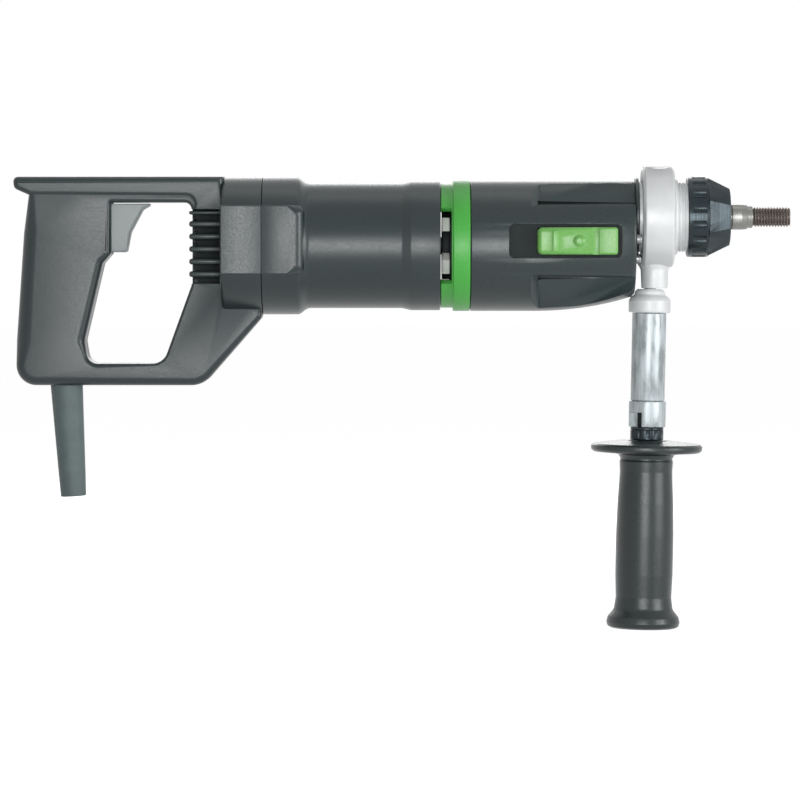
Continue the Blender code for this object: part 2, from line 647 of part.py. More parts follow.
def build_fan(bore):
    """Seven swept blades on a thin disc, with a gap between two of them towards -Y."""
    start, end, radius = FAN
    hub_r = 12.0
    middle_r = (hub_r + radius) / 2
    outline = []
    for number in range(FAN_BLADES):
        tip = math.pi + math.tau / FAN_BLADES * (number + 0.5)
        for distance, turn in (
                (hub_r, -FAN_SWEEP - 0.14), (middle_r, -0.65 * FAN_SWEEP - 0.13), (radius, -0.13),
                (radius, 0.13), (middle_r, -0.65 * FAN_SWEEP + 0.13), (hub_r, -FAN_SWEEP + 0.14)):
            outline.append((distance * math.cos(tip + turn), distance * math.sin(tip + turn)))
    fan = plate("cooling_fan", [outline], end - start - 0.5, "YZ",
                ((start + end - 0.5) / 2, *MOTOR), "pale")
    join(fan, rod("fan_disc", radius + 0.6, end - 1.6, end, "X", MOTOR, sides=40))
    cut(fan, rod("fan_bore", bore, start - 1, end + 1, "X", MOTOR))


def brush(name, side):
    """A carbon brush in its square brass tube, standing on the commutator."""
    half, inner = 5.5, 4.0
    outer_end = BARREL_BORE_R - 1.2
    near, far = sorted((side * (COMMUTATOR[2] + 1.6), side * outer_end))
    holder = box(f"brush_holder_{name}", (BRUSH_X - half, near, MOTOR_Z - half),
                 (BRUSH_X + half, far, MOTOR_Z + half), "brass")
    cut(holder, box("brush_way", (BRUSH_X - inner, near - 5, MOTOR_Z - inner),
                    (BRUSH_X + inner, far + 5, MOTOR_Z + inner)))
    near, far = sorted((side * (COMMUTATOR[2] + FIT), side * (COMMUTATOR[2] + 20)))
    grip = inner - FIT
    box(f"carbon_brush_{name}", (BRUSH_X - grip, near, MOTOR_Z - grip),
        (BRUSH_X + grip, far, MOTOR_Z + grip), "carbon")


def build_flange():
    """The green ring between motor and gears: an air window on each side, and two bearing seats."""
    start, end = BULKHEAD
    ring_profile = [
        (GEARCASE_REAR_X - FIT, GEARCASE_BORE_R - 1), (GEARCASE_REAR_X - FIT, FLANGE_R),
        (FLANGE_STEP_X, FLANGE_R), (FLANGE_STEP_X, FLANGE_REAR_R), (FLANGE_REAR_X, FLANGE_REAR_R),
        (FLANGE_REAR_X, 38.5), (start, 38.5), (start, MOTOR_BEARING[0]), (end - 1.5, MOTOR_BEARING[0]),
        (end - 1.5, MOTOR_BEARING[1] + 2), (end, MOTOR_BEARING[1] + 2), (end, GEARCASE_BORE_R - 1)]
    flange = lathe("bearing_flange", ring_profile, "X", MOTOR, "green", 40)
    for middle in (0, 180):
        window = plate("air_window", [sector(30, 60, middle - 38, middle + 38, 8)],
                       FLANGE_STEP_X - FLANGE_REAR_X + 2, "YZ",
                       ((FLANGE_STEP_X + FLANGE_REAR_X) / 2 - 1, *MOTOR))
        cut(flange, window)
    cut(flange, rod("shaft_seat", SHAFT_BEARING[0], end - SHAFT_BEARING[2], end + 5, "X", SHAFT))


# ---------------------------------------------------------------- gears

DRIVEN_X = (-217.0, -207.0)
PINION_X = (-219.0, -206.0)
PLATE_X = (-204.8, -196.8)
PLATE_SEAT_R = -RECESS_FLOOR_Y - WALL
LOW_X = (-148.0, -138.0)
HIGH_X = (LOW_X[0] - 12 - 10, LOW_X[0] - 12)
HIGH_GEAR_X = (HIGH_X[0] - SELECTOR_TRAVEL, HIGH_X[1] - SELECTOR_TRAVEL)
FRONT_WALL_X = -121.0
GROOVE_R = 7.2
CLUSTER_BORE = 5.2
POCKET_RISE = 1.5
SPINDLE_GEAR_BORE = 9.0
FORK_Z = SHAFT[1]
SCREW_CIRCLE_R = NECK_FLANGE_R + 5.5
FRONT_SCREWS = [
    (SCREW_CIRCLE_R * math.cos(math.radians(angle)), SCREW_CIRCLE_R * math.sin(math.radians(angle)))
    for angle in (-152, -118, -62, -28)]


def loft(name, stations, steps=44, finish=None):
    """A skin over circles across X, each given as (x, z of its centre, radius), with capped ends."""
    mesh = bpy.data.meshes.new(name)
    built = bmesh.new()
    rings = []
    for x, z, radius in stations:
        turn = [math.tau * i / steps for i in range(steps)]
        rings.append([built.verts.new((x * MM, radius * math.cos(a) * MM, (z + radius * math.sin(a)) * MM))
                      for a in turn])
    for first, second in zip(rings, rings[1:]):
        for i in range(steps):
            j = (i + 1) % steps
            built.faces.new((first[i], first[j], second[j], second[i]))
    built.faces.new(rings[0])
    built.faces.new(rings[-1])
    bmesh.ops.recalc_face_normals(built, faces=built.faces)
    built.to_mesh(mesh)
    built.free()
    return smooth(place(mesh, name, finish, (0, 0, 0), (0, 0, 0)))


def gearcase_stations(inset):
    """Circles from the round rear end to the smaller front end, with their tops on one line."""
    top = MOTOR_Z + FLANGE_R
    shapes = [(GEARCASE_REAR_X, FLANGE_R)]
    span = GEARCASE_FRONT_X - POCKET_REAR_X
    for share, drop in ((0, 0), (0.3, 0.1), (0.55, 0.3), (0.8, 0.62), (0.96, 0.93)):
        radius = FLANGE_R - (FLANGE_R - GEARCASE_FRONT_R) * drop
        shapes.append((POCKET_REAR_X + span * share, radius))
    shapes.append((GEARCASE_FRONT_X, GEARCASE_FRONT_R - 1.5))
    return [(x, top - radius - (1.5 if x == GEARCASE_FRONT_X else 0), radius - inset)
            for x, radius in shapes]


def pocket(name, low_z, high_z):
    """A side pocket, open to the front, whose floor is a smaller cylinder around the motor's axis."""
    space = box(name, (POCKET_REAR_X, -60, low_z), (-90, 60, high_z))
    cut(space, box(f"{name}_keel", (-250, -13, -200), (0, 13, 200)))
    cut(space, rod(f"{name}_floor", FLANGE_R - 6.5, -260, 0, "X", (0, MOTOR_Z + POCKET_RISE), sides=48,
                   end_radius=FLANGE_R - 11.5))
    return space


def build_gear_housing():
    housing = loft("gear_housing", gearcase_stations(0), finish="shell")
    cut(housing, pocket("upper_pocket", 7.0, 60), pocket("lower_pocket", -100, -40.0))
    inner = [(GEARCASE_REAR_X - 5, MOTOR_Z, GEARCASE_BORE_R), (PLATE_X[0] - 1.8, MOTOR_Z, GEARCASE_BORE_R),
             (PLATE_X[0] - 1.0, MOTOR_Z, PLATE_SEAT_R), (PLATE_X[1] + 0.8, MOTOR_Z, PLATE_SEAT_R),
             (POCKET_REAR_X - 4, MOTOR_Z + POCKET_RISE, FLANGE_R - 11.0),
             (FRONT_WALL_X, MOTOR_Z + POCKET_RISE, FLANGE_R - 12.4)]
    cut(housing, loft("gear_space", inner, 36))
    cut(housing, rod("spindle_gear_space", gear_outer_r(LOW_GEAR_TEETH) + 1.2, PLATE_X[1], FRONT_WALL_X,
                     "X", SPINDLE, sides=32))
    cut(housing, box("selector_recess", (RECESS_REAR_X, -60, RECESS_BOTTOM_Z),
                     (RECESS_FRONT_X, RECESS_FLOOR_Y, RECESS_TOP_Z)))
    cut(housing, box("fork_slot", (FORK_X[0] - SELECTOR_TRAVEL - 1, -50, FORK_Z - FORK_HALF_H - 0.6),
                     (FORK_X[1] + 1, -20, FORK_Z + FORK_HALF_H + 0.6)))
    cut(housing, rod("spindle_way", 12.5, -130, 0, "X", SPINDLE))
    cut(housing, rod("front_seat", SHAFT_BEARING[0], FRONT_WALL_X - 5, FRONT_WALL_X + SHAFT_BEARING[2] + 0.5,
                     "X", SHAFT))
    for number, (y, z) in enumerate(FRONT_SCREWS, 1):
        cut(housing, rod(f"front_screw_hole_{number}", 2.1, -119.5, 0, "X", (y, z), sides=16))
        lathe(f"front_screw_{number}", [
            (GEARCASE_FRONT_X + 4.2, 0), (GEARCASE_FRONT_X + 4.2, 3.2), (GEARCASE_FRONT_X + FIT, 3.6),
            (GEARCASE_FRONT_X + FIT, 1.8), (-118.5, 1.8), (-118.5, 0)], "X", (y, z), "steel", 12)


def build_gear_train():
    bearing("shaft_rear_bearing", SHAFT_BEARING, BULKHEAD[1] - SHAFT_BEARING[2], SHAFT)
    bearing("shaft_front_bearing", SHAFT_BEARING, FRONT_WALL_X, SHAFT)
    low, high = SHAFT_BEARING[1], 5.0
    lathe("intermediate_shaft", [
        (FRONT_WALL_X + 4.5, 0), (FRONT_WALL_X + 4.5, low), (FRONT_WALL_X - 0.5, low),
        (FRONT_WALL_X - 0.5, high), (BULKHEAD[1] + 0.5, high), (BULKHEAD[1] + 0.5, low),
        (BULKHEAD[1] - 4.5, low), (BULKHEAD[1] - 4.5, 0)], "X", SHAFT, "steel", 24)
    gear("motor_pinion", PINION_TEETH, *PINION_X, MOTOR, PINION_SHAFT_R + PRESS_GAP, "steel", MOTOR_TO_SHAFT)
    gear("driven_gear", DRIVEN_TEETH, *DRIVEN_X, SHAFT, high + PRESS_GAP, "steel",
         MOTOR_TO_SHAFT + 180 + 180 / DRIVEN_TEETH)
    cluster = gear("shift_gear", LOW_TEETH, *LOW_X, SHAFT, 0, "steel",
                   SPINDLE_TO_SHAFT + 180 + 180 / LOW_TEETH)
    join(cluster, gear("shift_high", HIGH_TEETH, *HIGH_X, SHAFT, 0, "steel",
                       SPINDLE_TO_SHAFT + 180 + 180 / HIGH_TEETH))
    join(cluster, rod("shift_groove", GROOVE_R, HIGH_X[1] - 1, LOW_X[0] + 1, "X", SHAFT))
    cut(cluster, rod("shift_bore", CLUSTER_BORE, HIGH_X[0] - 1, LOW_X[1] + 1, "X", SHAFT))


def build_bearing_plate():
    """The wall inside the gear housing that carries the spindle's rear bearing."""
    outline = circle(PLATE_SEAT_R - FIT, 56)
    seat = SPINDLE_REAR_BEARING[0]
    plate_holes = [circle(seat, 32, (0, MOTOR_DROP)), circle(7.0, 24, (SHAFT[0], SHAFT_UP))]
    plate("bearing_plate", [outline, *plate_holes], PLATE_X[1] - PLATE_X[0], "YZ",
          ((PLATE_X[0] + PLATE_X[1]) / 2, *MOTOR), "cast")
    bearing("spindle_rear_bearing", SPINDLE_REAR_BEARING, PLATE_X[0] + 0.5, SPINDLE)


def build_selector():
    """The green slide in the side recess, and the fork that it carries through the slot."""
    middle = (RECESS_TOP_Z + RECESS_BOTTOM_Z) / 2
    outer_y = -FLANGE_R - 1.4
    slide = box("selector_slide", (SLIDE_REAR_X, outer_y, middle - SLIDE_H / 2),
                (SLIDE_FRONT_X, RECESS_FLOOR_Y - FIT, middle + SLIDE_H / 2), "lime", 1.2)
    dome = lathe("slide_dome", [
        (outer_y - 1.6, 0), (outer_y - 1.3, 2.4), (outer_y, 4.2), (outer_y + 1.5, 4.2), (outer_y + 1.5, 0)],
        "Y", (SLIDE_FRONT_X - 26.7, middle), steps=24)
    groove = box("slide_groove", (SLIDE_FRONT_X - 17.0, outer_y - 1, middle - 20),
                 (SLIDE_FRONT_X - 13.0, outer_y + 0.9, middle + 20))
    join(slide, dome)
    cut(slide, groove)
    start, end = FORK_X
    half = FORK_HALF_H
    fork = ring("shift_fork", 11.0, GROOVE_R + 0.5, start, end, "X", SHAFT, "brass", 32)
    stem = box("fork_stem", (start, RECESS_FLOOR_Y + 0.1 - 1.0, FORK_Z - half),
               (end, SHAFT[0] - 9.0, FORK_Z + half))
    mouth = box("fork_mouth", (start - 1, SHAFT[0] + 2.0, FORK_Z - 30),
                (end + 1, SHAFT[0] + 30, FORK_Z + 30))
    join(fork, stem)
    cut(fork, mouth)
    cut(slide, box("stem_socket", (start - FIT, RECESS_FLOOR_Y - 1.3, FORK_Z - half - FIT),
                   (end + FIT, RECESS_FLOOR_Y + 2, FORK_Z + half + FIT)))


# ---------------------------------------------------------------- spindle end

def build_spindle():
    rear, gear_seat, main = SPINDLE_REAR_BEARING[1], SPINDLE_GEAR_BORE, SPINDLE_BEARING[1]
    chamfer = 1.2
    lathe("spindle", [
        (0, 0), (0, THREAD_R - chamfer), (-chamfer, THREAD_R), (SPINDLE_RELIEF_X, THREAD_R),
        (SPINDLE_RELIEF_X, SPINDLE_RELIEF_R), (SPINDLE_SHOULDER_X, SPINDLE_RELIEF_R),
        (SPINDLE_SHOULDER_X, SPINDLE_NOSE_R), (RING_FRONT_X - 3, SPINDLE_NOSE_R),
        (RING_FRONT_X - 3, main), (-130, main), (-130, gear_seat), (PLATE_X[1] + 1, gear_seat),
        (PLATE_X[1] + 1, rear), (PLATE_X[0] + 0.8, rear), (PLATE_X[0] + 0.8, 0)],
        "X", SPINDLE, "steel", 28)
    gear_bore = SPINDLE_GEAR_BORE + PRESS_GAP
    gear("spindle_gear_low", LOW_GEAR_TEETH, LOW_X[0] + 2, LOW_X[1], SPINDLE, gear_bore, "steel",
         SPINDLE_TO_SHAFT)
    gear("spindle_gear_high", HIGH_GEAR_TEETH, *HIGH_GEAR_X, SPINDLE, gear_bore, "steel",
         SPINDLE_TO_SHAFT)
    bearing("spindle_front_bearing", SPINDLE_BEARING, -100.0, SPINDLE)
    ring("shaft_seal", 15.7, SPINDLE_BEARING[1] + 0.2, -73.0, -68.0, "X", SPINDLE, "rubber", 24)
    ratchet("ratchet_disc_fixed", 15.7, SPINDLE_BEARING[1] + 0.7, -66.5, -62.0, 1)
    ratchet("ratchet_disc_spindle", 15.2, SPINDLE_BEARING[1] + PRESS_GAP, -57.5, -53.0, -1)


def ratchet(name, outer, bore, start, end, facing):
    """A disc with radial teeth on its face towards +X (facing 1) or -X (facing -1)."""
    disc = ring(name, outer, bore, start, end, "X", SPINDLE, "dark_steel", 24)
    face = end if facing > 0 else start
    for number in range(6):
        notch = box(f"{name}_notch", (face - 1.2, -1.4, -40), (face + 1.2, 1.4, 40))
        notch.rotation_euler = (math.pi * number / 6, 0, 0)
        cut(disc, notch)
    return disc


def build_neck():
    seat = SPINDLE_BEARING[0]
    lathe("neck", [
        (GEARCASE_FRONT_X + FIT, NECK_FLANGE_R), (GEARCASE_FRONT_X + 3, NECK_FLANGE_R),
        (GEARCASE_FRONT_X + 3, NECK_R), (-74.6, NECK_R), (-74.6, NECK_R - 0.9), (-73.6, NECK_R - 0.9),
        (-73.6, NECK_R), (NECK_STEP_X, NECK_R), (NECK_STEP_X, NECK_SPIGOT_R), (NECK_END_X, NECK_SPIGOT_R),
        (NECK_END_X, 16.0), (-75.0, 16.0), (-75.0, 14.0), (-87.9, 14.0), (-87.9, seat),
        (GEARCASE_FRONT_X + FIT, seat)], "X", SPINDLE, "cast", 32)


def build_percussion_ring():
    """The lobed ring that is turned by hand around the front of the neck."""
    bore, spigot_bore = NECK_R + RING_CLEARANCE, NECK_SPIGOT_R + RING_CLEARANCE
    selector = lathe("percussion_ring", [
        (RING_FRONT_X, 12.0), (RING_FRONT_X, RING_NOSE_R), (RING_CONE_X, RING_R - 1.0),
        (RING_CONE_X - 1.0, RING_R), (RING_REAR_X + 1, RING_R), (RING_REAR_X, RING_R - 1),
        (RING_REAR_X, bore), (NECK_STEP_X + RING_CLEARANCE, bore),
        (NECK_STEP_X + RING_CLEARANCE, spigot_bore), (NECK_END_X + 0.5, spigot_bore),
        (NECK_END_X + 0.5, 12.0)], "X", SPINDLE, "dark_steel", 32)
    lobes = 8
    flute_r, flute_depth = 5.6, 1.9
    distance = RING_R + flute_r - flute_depth
    for number in range(lobes):
        angle = math.tau * (number + 0.5) / lobes
        centre = (distance * math.cos(angle), distance * math.sin(angle))
        cut(selector, rod("ring_flute", flute_r, RING_REAR_X - 1, RING_CONE_X + 8, "X", centre, sides=16))


# ---------------------------------------------------------------- side handle

def build_collar():
    """The pale clamp ring on the neck, with the boss that takes the side handle."""
    edge = 1.5
    lip_r = NECK_R + 1.9
    collar = lathe("collar_ring", [
        (COLLAR_FRONT_X + 2.6, NECK_R + FIT), (COLLAR_FRONT_X + 2.6, NECK_R + 1.0),
        (COLLAR_FRONT_X + 1.6, lip_r), (COLLAR_FRONT_X, lip_r), (COLLAR_FRONT_X, COLLAR_R - edge),
        (COLLAR_FRONT_X - edge, COLLAR_R), (COLLAR_REAR_X + edge, COLLAR_R),
        (COLLAR_REAR_X, COLLAR_R - edge), (COLLAR_REAR_X, NECK_R + FIT)], "X", SPINDLE, "cast", 36)
    boss = rod("collar_boss", BOSS_R, HANDLE_TOP_Z + FIT, -NECK_R - 5.7, "Z", (BOSS_X, 0), sides=24)
    bore = rod("collar_bore", NECK_R + FIT, -140, 0, "X", SPINDLE, sides=36)
    join(collar, boss)
    cut(collar, bore)
    rod_hole = rod("collar_rod_hole", ROD_R + 0.5, -70, ROD_TOP_Z + 5.0, "Z", (0, 0), sides=20)
    on_handle_axis(rod_hole)
    cut(collar, rod_hole)


def on_handle_axis(obj):
    """Moves a shape made around the world's Z axis onto the handle's raked axis."""
    pivot = Matrix.Translation((HANDLE_X * MM, 0, HANDLE_TOP_Z * MM))
    down = Matrix.Translation((0, 0, -HANDLE_TOP_Z * MM))
    centre = Matrix.Translation(obj.location)
    obj.matrix_world = pivot @ Matrix.Rotation(RAKE, 4, "Y") @ down @ centre
    return obj


def build_side_handle():
    top = HANDLE_TOP_Z - FIT
    seat_z = -215.0
    head_z = seat_z - 0.5
    rod_way_r = ROD_R + ROD_CLEARANCE
    parts = []
    parts.append(lathe("collar_nut", [
        (top, ROD_R + 0.5), (top, 8.5), (top - 1.5, 10.2), (top - 3.8, 10.7), (top - 5.8, 13.3),
        (top - 8.0, NUT_R),
        (NUT_BOTTOM_Z + 1.2, NUT_R), (NUT_BOTTOM_Z, NUT_R - 1.2), (NUT_BOTTOM_Z, ROD_R + 0.5)],
        "Z", finish="cast", steps=24))
    parts.append(ring("handle_tube", TUBE_R, 7.5, TUBE_BOTTOM_Z, NUT_BOTTOM_Z - FIT, "Z",
                      finish="cast", steps=24))
    sleeve = ring("slotted_sleeve", SLEEVE_R, 7.5, SLEEVE_BOTTOM_Z, TUBE_BOTTOM_Z - FIT, "Z",
                  finish="cast", steps=24)
    notch = box("sleeve_notch", (-6.5, -20, -148.0), (1.5, 0, -136.5))
    parts.append(sleeve)
    parts.append(ring("handle_ferrule", 11.6, rod_way_r, FERRULE_BOTTOM_Z, SLEEVE_BOTTOM_Z - FIT, "Z",
                      finish="carbon", steps=24))
    guard_top = FERRULE_BOTTOM_Z - FIT
    parts.append(lathe("handle_grip", [
        (guard_top, rod_way_r), (guard_top, 20.0), (guard_top - 2.6, GUARD_R - 1.4),
        (guard_top - 4.0, GUARD_R), (GUARD_BOTTOM_Z + 1.6, GUARD_R), (GUARD_BOTTOM_Z, GUARD_R - 2),
        (GUARD_BOTTOM_Z - 1.5, 21.0), (-168.5, 18.4), (-178, 18.1), (-200, 19.4), (-223, 20.1),
        (-250, 20.1), (-268, 19.6), (-275.5, 21.0), (-280.5, 25.0), (-283.5, 25.8), (-286.5, 24.8),
        (GRIP_END_Z, 22.5), (GRIP_END_Z, 8.0), (-281.0, 7.0), (seat_z, 7.0), (seat_z, rod_way_r)],
        "Z", finish="shell", steps=28))
    parts.append(lathe("clamp_rod", [
        (ROD_TOP_Z, 0), (ROD_TOP_Z, ROD_R), (head_z, ROD_R), (head_z, 6.4), (head_z - 6.5, 6.4),
        (head_z - 6.5, 0)], "Z", finish="steel", steps=16))
    for part in parts:
        on_handle_axis(part)
    on_handle_axis(notch)
    cut(sleeve, notch)


def main():
    build_grip()
    build_motor_housing()
    build_stator()
    build_armature()
    build_flange()
    build_gear_housing()
    build_gear_train()
    build_bearing_plate()
    build_selector()
    build_spindle()
    build_neck()
    build_percussion_ring()
    build_collar()
    build_side_handle()


main()
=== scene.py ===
"""Looks of the hand-held core drill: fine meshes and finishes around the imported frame.

Lengths in the tables below are in millimetres, and the shape helpers turn them into metres with MM.
"""

import json
import math

import bmesh
import bpy
from mathutils import Matrix, Vector

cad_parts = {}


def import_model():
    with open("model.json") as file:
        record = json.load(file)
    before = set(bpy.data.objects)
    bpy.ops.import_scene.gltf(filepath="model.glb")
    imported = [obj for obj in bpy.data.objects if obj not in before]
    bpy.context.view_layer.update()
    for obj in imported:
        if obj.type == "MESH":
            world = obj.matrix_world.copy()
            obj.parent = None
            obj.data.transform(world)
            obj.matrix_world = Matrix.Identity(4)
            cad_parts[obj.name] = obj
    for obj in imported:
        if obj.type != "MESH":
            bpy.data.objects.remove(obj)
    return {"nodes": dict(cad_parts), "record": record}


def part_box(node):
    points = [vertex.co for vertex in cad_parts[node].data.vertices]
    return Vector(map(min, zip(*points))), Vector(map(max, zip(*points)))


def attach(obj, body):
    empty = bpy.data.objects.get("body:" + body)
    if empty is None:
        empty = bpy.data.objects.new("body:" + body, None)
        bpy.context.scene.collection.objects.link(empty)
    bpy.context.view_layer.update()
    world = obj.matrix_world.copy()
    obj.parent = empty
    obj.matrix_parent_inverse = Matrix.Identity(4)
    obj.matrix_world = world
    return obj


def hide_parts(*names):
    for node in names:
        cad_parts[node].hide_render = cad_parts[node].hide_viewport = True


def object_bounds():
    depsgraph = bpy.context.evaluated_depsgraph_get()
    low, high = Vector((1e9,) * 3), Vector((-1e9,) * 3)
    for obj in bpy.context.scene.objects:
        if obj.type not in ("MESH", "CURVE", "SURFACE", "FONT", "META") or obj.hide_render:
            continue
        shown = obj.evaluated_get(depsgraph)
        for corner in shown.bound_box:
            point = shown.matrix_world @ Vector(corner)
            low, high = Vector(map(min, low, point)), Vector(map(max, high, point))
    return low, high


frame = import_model()
CAD_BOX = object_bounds()

MM = 0.001
NODES = frame["nodes"]
MOTOR_Z = -20.1
SMOOTH_ANGLE = math.radians(32)
SAME_POINT = 0.000002
AXIS_TURN = {
    "X": Matrix.Rotation(math.pi / 2, 4, "Y"),
    "Y": Matrix.Rotation(-math.pi / 2, 4, "X"),
    "Z": Matrix.Identity(4),
}
PLANE_TURN = {
    "XZ": Matrix.Rotation(math.pi / 2, 4, "X"),
    "YZ": Matrix.Rotation(math.pi / 2, 4, "Z") @ Matrix.Rotation(math.pi / 2, 4, "X"),
    "XY": Matrix.Identity(4),
}


def edges_mm(node):
    """A node's lowest and highest corner, in millimetres."""
    low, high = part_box(node)
    return low / MM, high / MM


# ---------------------------------------------------------------- shape helpers

def put(name, data):
    """A new object in the scene."""
    obj = bpy.data.objects.new(name, data)
    bpy.context.scene.collection.objects.link(obj)
    return obj


def add_mesh(name, mesh, turn=None, place=(0, 0, 0)):
    """A new object at the origin, whose mesh has been turned and moved to its place."""
    move = Matrix.Translation([value * MM for value in place])
    mesh.transform(move @ (turn or Matrix.Identity(4)))
    return put(name, mesh)


def soften(mesh, angle=SMOOTH_ANGLE):
    mesh.shade_smooth()
    mesh.set_sharp_from_angle(angle=angle)


def bake(obj):
    """Applies the object's modifiers to its mesh."""
    graph = bpy.context.evaluated_depsgraph_get()
    mesh = bpy.data.meshes.new_from_object(obj.evaluated_get(graph))
    obj.modifiers.clear()
    obj.data = mesh
    return obj


def round_edges(obj, width, segments, angle):
    """Rounds the edges that are sharper than angle degrees."""
    step = obj.modifiers.new("bevel", "BEVEL")
    step.width = width * MM
    step.segments = segments
    step.limit_method = "ANGLE"
    step.angle_limit = math.radians(angle)
    bake(obj)


def carve(obj, join=(), cut=(), bevel=0.0, segments=2, angle=35):
    """Joins and cuts shapes, which are used up, then rounds the edges and shades the result."""
    for others, operation in ((join, "UNION"), (cut, "DIFFERENCE")):
        for other in others:
            step = obj.modifiers.new("step", "BOOLEAN")
            step.operation = operation
            step.solver = "MANIFOLD"
            step.object = other
    bake(obj)
    for other in (*join, *cut):
        bpy.data.objects.remove(other, do_unlink=True)
    if bevel:
        clean = bmesh.new()
        clean.from_mesh(obj.data)
        bmesh.ops.remove_doubles(clean, verts=clean.verts, dist=SAME_POINT)
        bmesh.ops.dissolve_degenerate(clean, edges=clean.edges, dist=SAME_POINT)
        clean.to_mesh(obj.data)
        clean.free()
        round_edges(obj, bevel, segments, angle)
    soften(obj.data)
    return obj


def mesh_of(name, built):
    """The mesh of a finished bmesh, which is freed."""
    mesh = bpy.data.meshes.new(name)
    built.to_mesh(mesh)
    built.free()
    return mesh


def block(name, low, high, bevel=0.0):
    built = bmesh.new()
    bmesh.ops.create_cube(built, size=1.0)
    bmesh.ops.scale(built, vec=[(b - a) * MM for a, b in zip(low, high)], verts=built.verts)
    if bevel:
        bmesh.ops.bevel(built, geom=built.edges[:], offset=bevel * MM, segments=3,
                        affect="EDGES", profile=0.5)
    return add_mesh(name, mesh_of(name, built), place=[(a + b) / 2 for a, b in zip(low, high)])


def on_axis(axis, middle, centre):
    """The point at middle along an axis whose other two coordinates are centre."""
    if axis == "X":
        return (middle, *centre)
    return (centre[0], middle, centre[1]) if axis == "Y" else (*centre, middle)


def rod(name, radius, start, end, axis="X", centre=(0, 0), sides=48, end_radius=None):
    built = bmesh.new()
    bmesh.ops.create_cone(
        built, cap_ends=True, segments=sides, radius1=radius * MM,
        radius2=(end_radius or radius) * MM, depth=(end - start) * MM)
    mesh = mesh_of(name, built)
    soften(mesh)
    return add_mesh(name, mesh, AXIS_TURN[axis], on_axis(axis, (start + end) / 2, centre))


def rods_around(name, count, reach, radius, start, end, axis="X", centre=(0, 0), sides=32,
                first=0.5):
    """Rods set evenly in a ring, of which the first stands that share of a step past zero."""
    made = []
    for number in range(count):
        angle = math.tau * (number + first) / count
        place = (centre[0] + reach * math.cos(angle), centre[1] + reach * math.sin(angle))
        made.append(rod(f"{name}_{number}", radius, start, end, axis, place, sides))
    return made


def rounded(corners, steps=8):
    """An outline from (x, y, fillet radius) corners, with each fillet as an arc.

    What a corner holds after its fillet radius is passed on to each of its points.
    """
    outline = []
    count = len(corners)
    for i, (x, y, radius, *rest) in enumerate(corners):
        if not radius:
            outline.append((x, y, *rest))
            continue
        here = Vector((x, y))
        back = Vector(corners[i - 1][:2]) - here
        ahead = Vector(corners[(i + 1) % count][:2]) - here
        half = back.angle(ahead) / 2
        reach = min(radius / math.tan(half), 0.48 * back.length, 0.48 * ahead.length)
        radius = reach * math.tan(half)
        back.normalize()
        ahead.normalize()
        centre = here + (back + ahead).normalized() * (radius / math.sin(half))
        first = math.atan2(*(here + back * reach - centre).yx)
        last = math.atan2(*(here + ahead * reach - centre).yx)
        sweep = (last - first + math.pi) % math.tau - math.pi
        for step in range(steps + 1):
            angle = first + sweep * step / steps
            outline.append((
                centre.x + radius * math.cos(angle), centre.y + radius * math.sin(angle), *rest))
    return outline


def turned(name, corners, axis="X", centre=(0, 0), steps=96):
    """Turns (distance along the axis, radius, fillet) corners; ends on the axis close the solid."""
    profile = rounded(corners, 4)
    solid = corners[0][1] == 0 and corners[-1][1] == 0
    points = [(radius, along) for along, radius in profile]
    if sum(a[0] * b[1] - b[0] * a[1] for a, b in zip(points, points[1:] + points[:1])) > 0:
        points.reverse()
    count = len(points)
    mesh = bpy.data.meshes.new(name)
    edges = [(i, (i + 1) % count) for i in range(count - 1 if solid else count)]
    mesh.from_pydata([(r * MM, 0, along * MM) for r, along in points], edges, [])
    obj = add_mesh(name, mesh)
    screw = obj.modifiers.new("turn", "SCREW")
    screw.axis = "Z"
    screw.steps = screw.render_steps = steps
    screw.use_merge_vertices = True
    screw.merge_threshold = 0.000005
    bake(obj)
    move = Matrix.Translation([value * MM for value in on_axis(axis, 0, centre)])
    obj.data.transform(move @ AXIS_TURN[axis])
    soften(obj.data)
    return obj


def slab(name, outlines, thickness, plane="XZ", centre=(0, 0, 0)):
    """Extrudes flat outlines, of which the later ones are holes, evenly about their plane."""
    curve = bpy.data.curves.new(name, "CURVE")
    curve.dimensions = "2D"
    curve.fill_mode = "BOTH"
    curve.extrude = thickness / 2 * MM
    for outline in outlines:
        spline = curve.splines.new("POLY")
        spline.points.add(len(outline) - 1)
        for point, (x, y) in zip(spline.points, outline):
            point.co = (x * MM, y * MM, 0, 1)
        spline.use_cyclic_u = True
    drawn = put(name, curve)
    graph = bpy.context.evaluated_depsgraph_get()
    mesh = bpy.data.meshes.new_from_object(drawn.evaluated_get(graph))
    bpy.data.objects.remove(drawn, do_unlink=True)
    built = bmesh.new()
    built.from_mesh(mesh)
    bmesh.ops.remove_doubles(built, verts=built.verts, dist=0.000001)
    bmesh.ops.recalc_face_normals(built, faces=built.faces)
    built.to_mesh(mesh)
    built.free()
    mesh.materials.clear()
    soften(mesh)
    return add_mesh(name, mesh, PLANE_TURN[plane], centre)


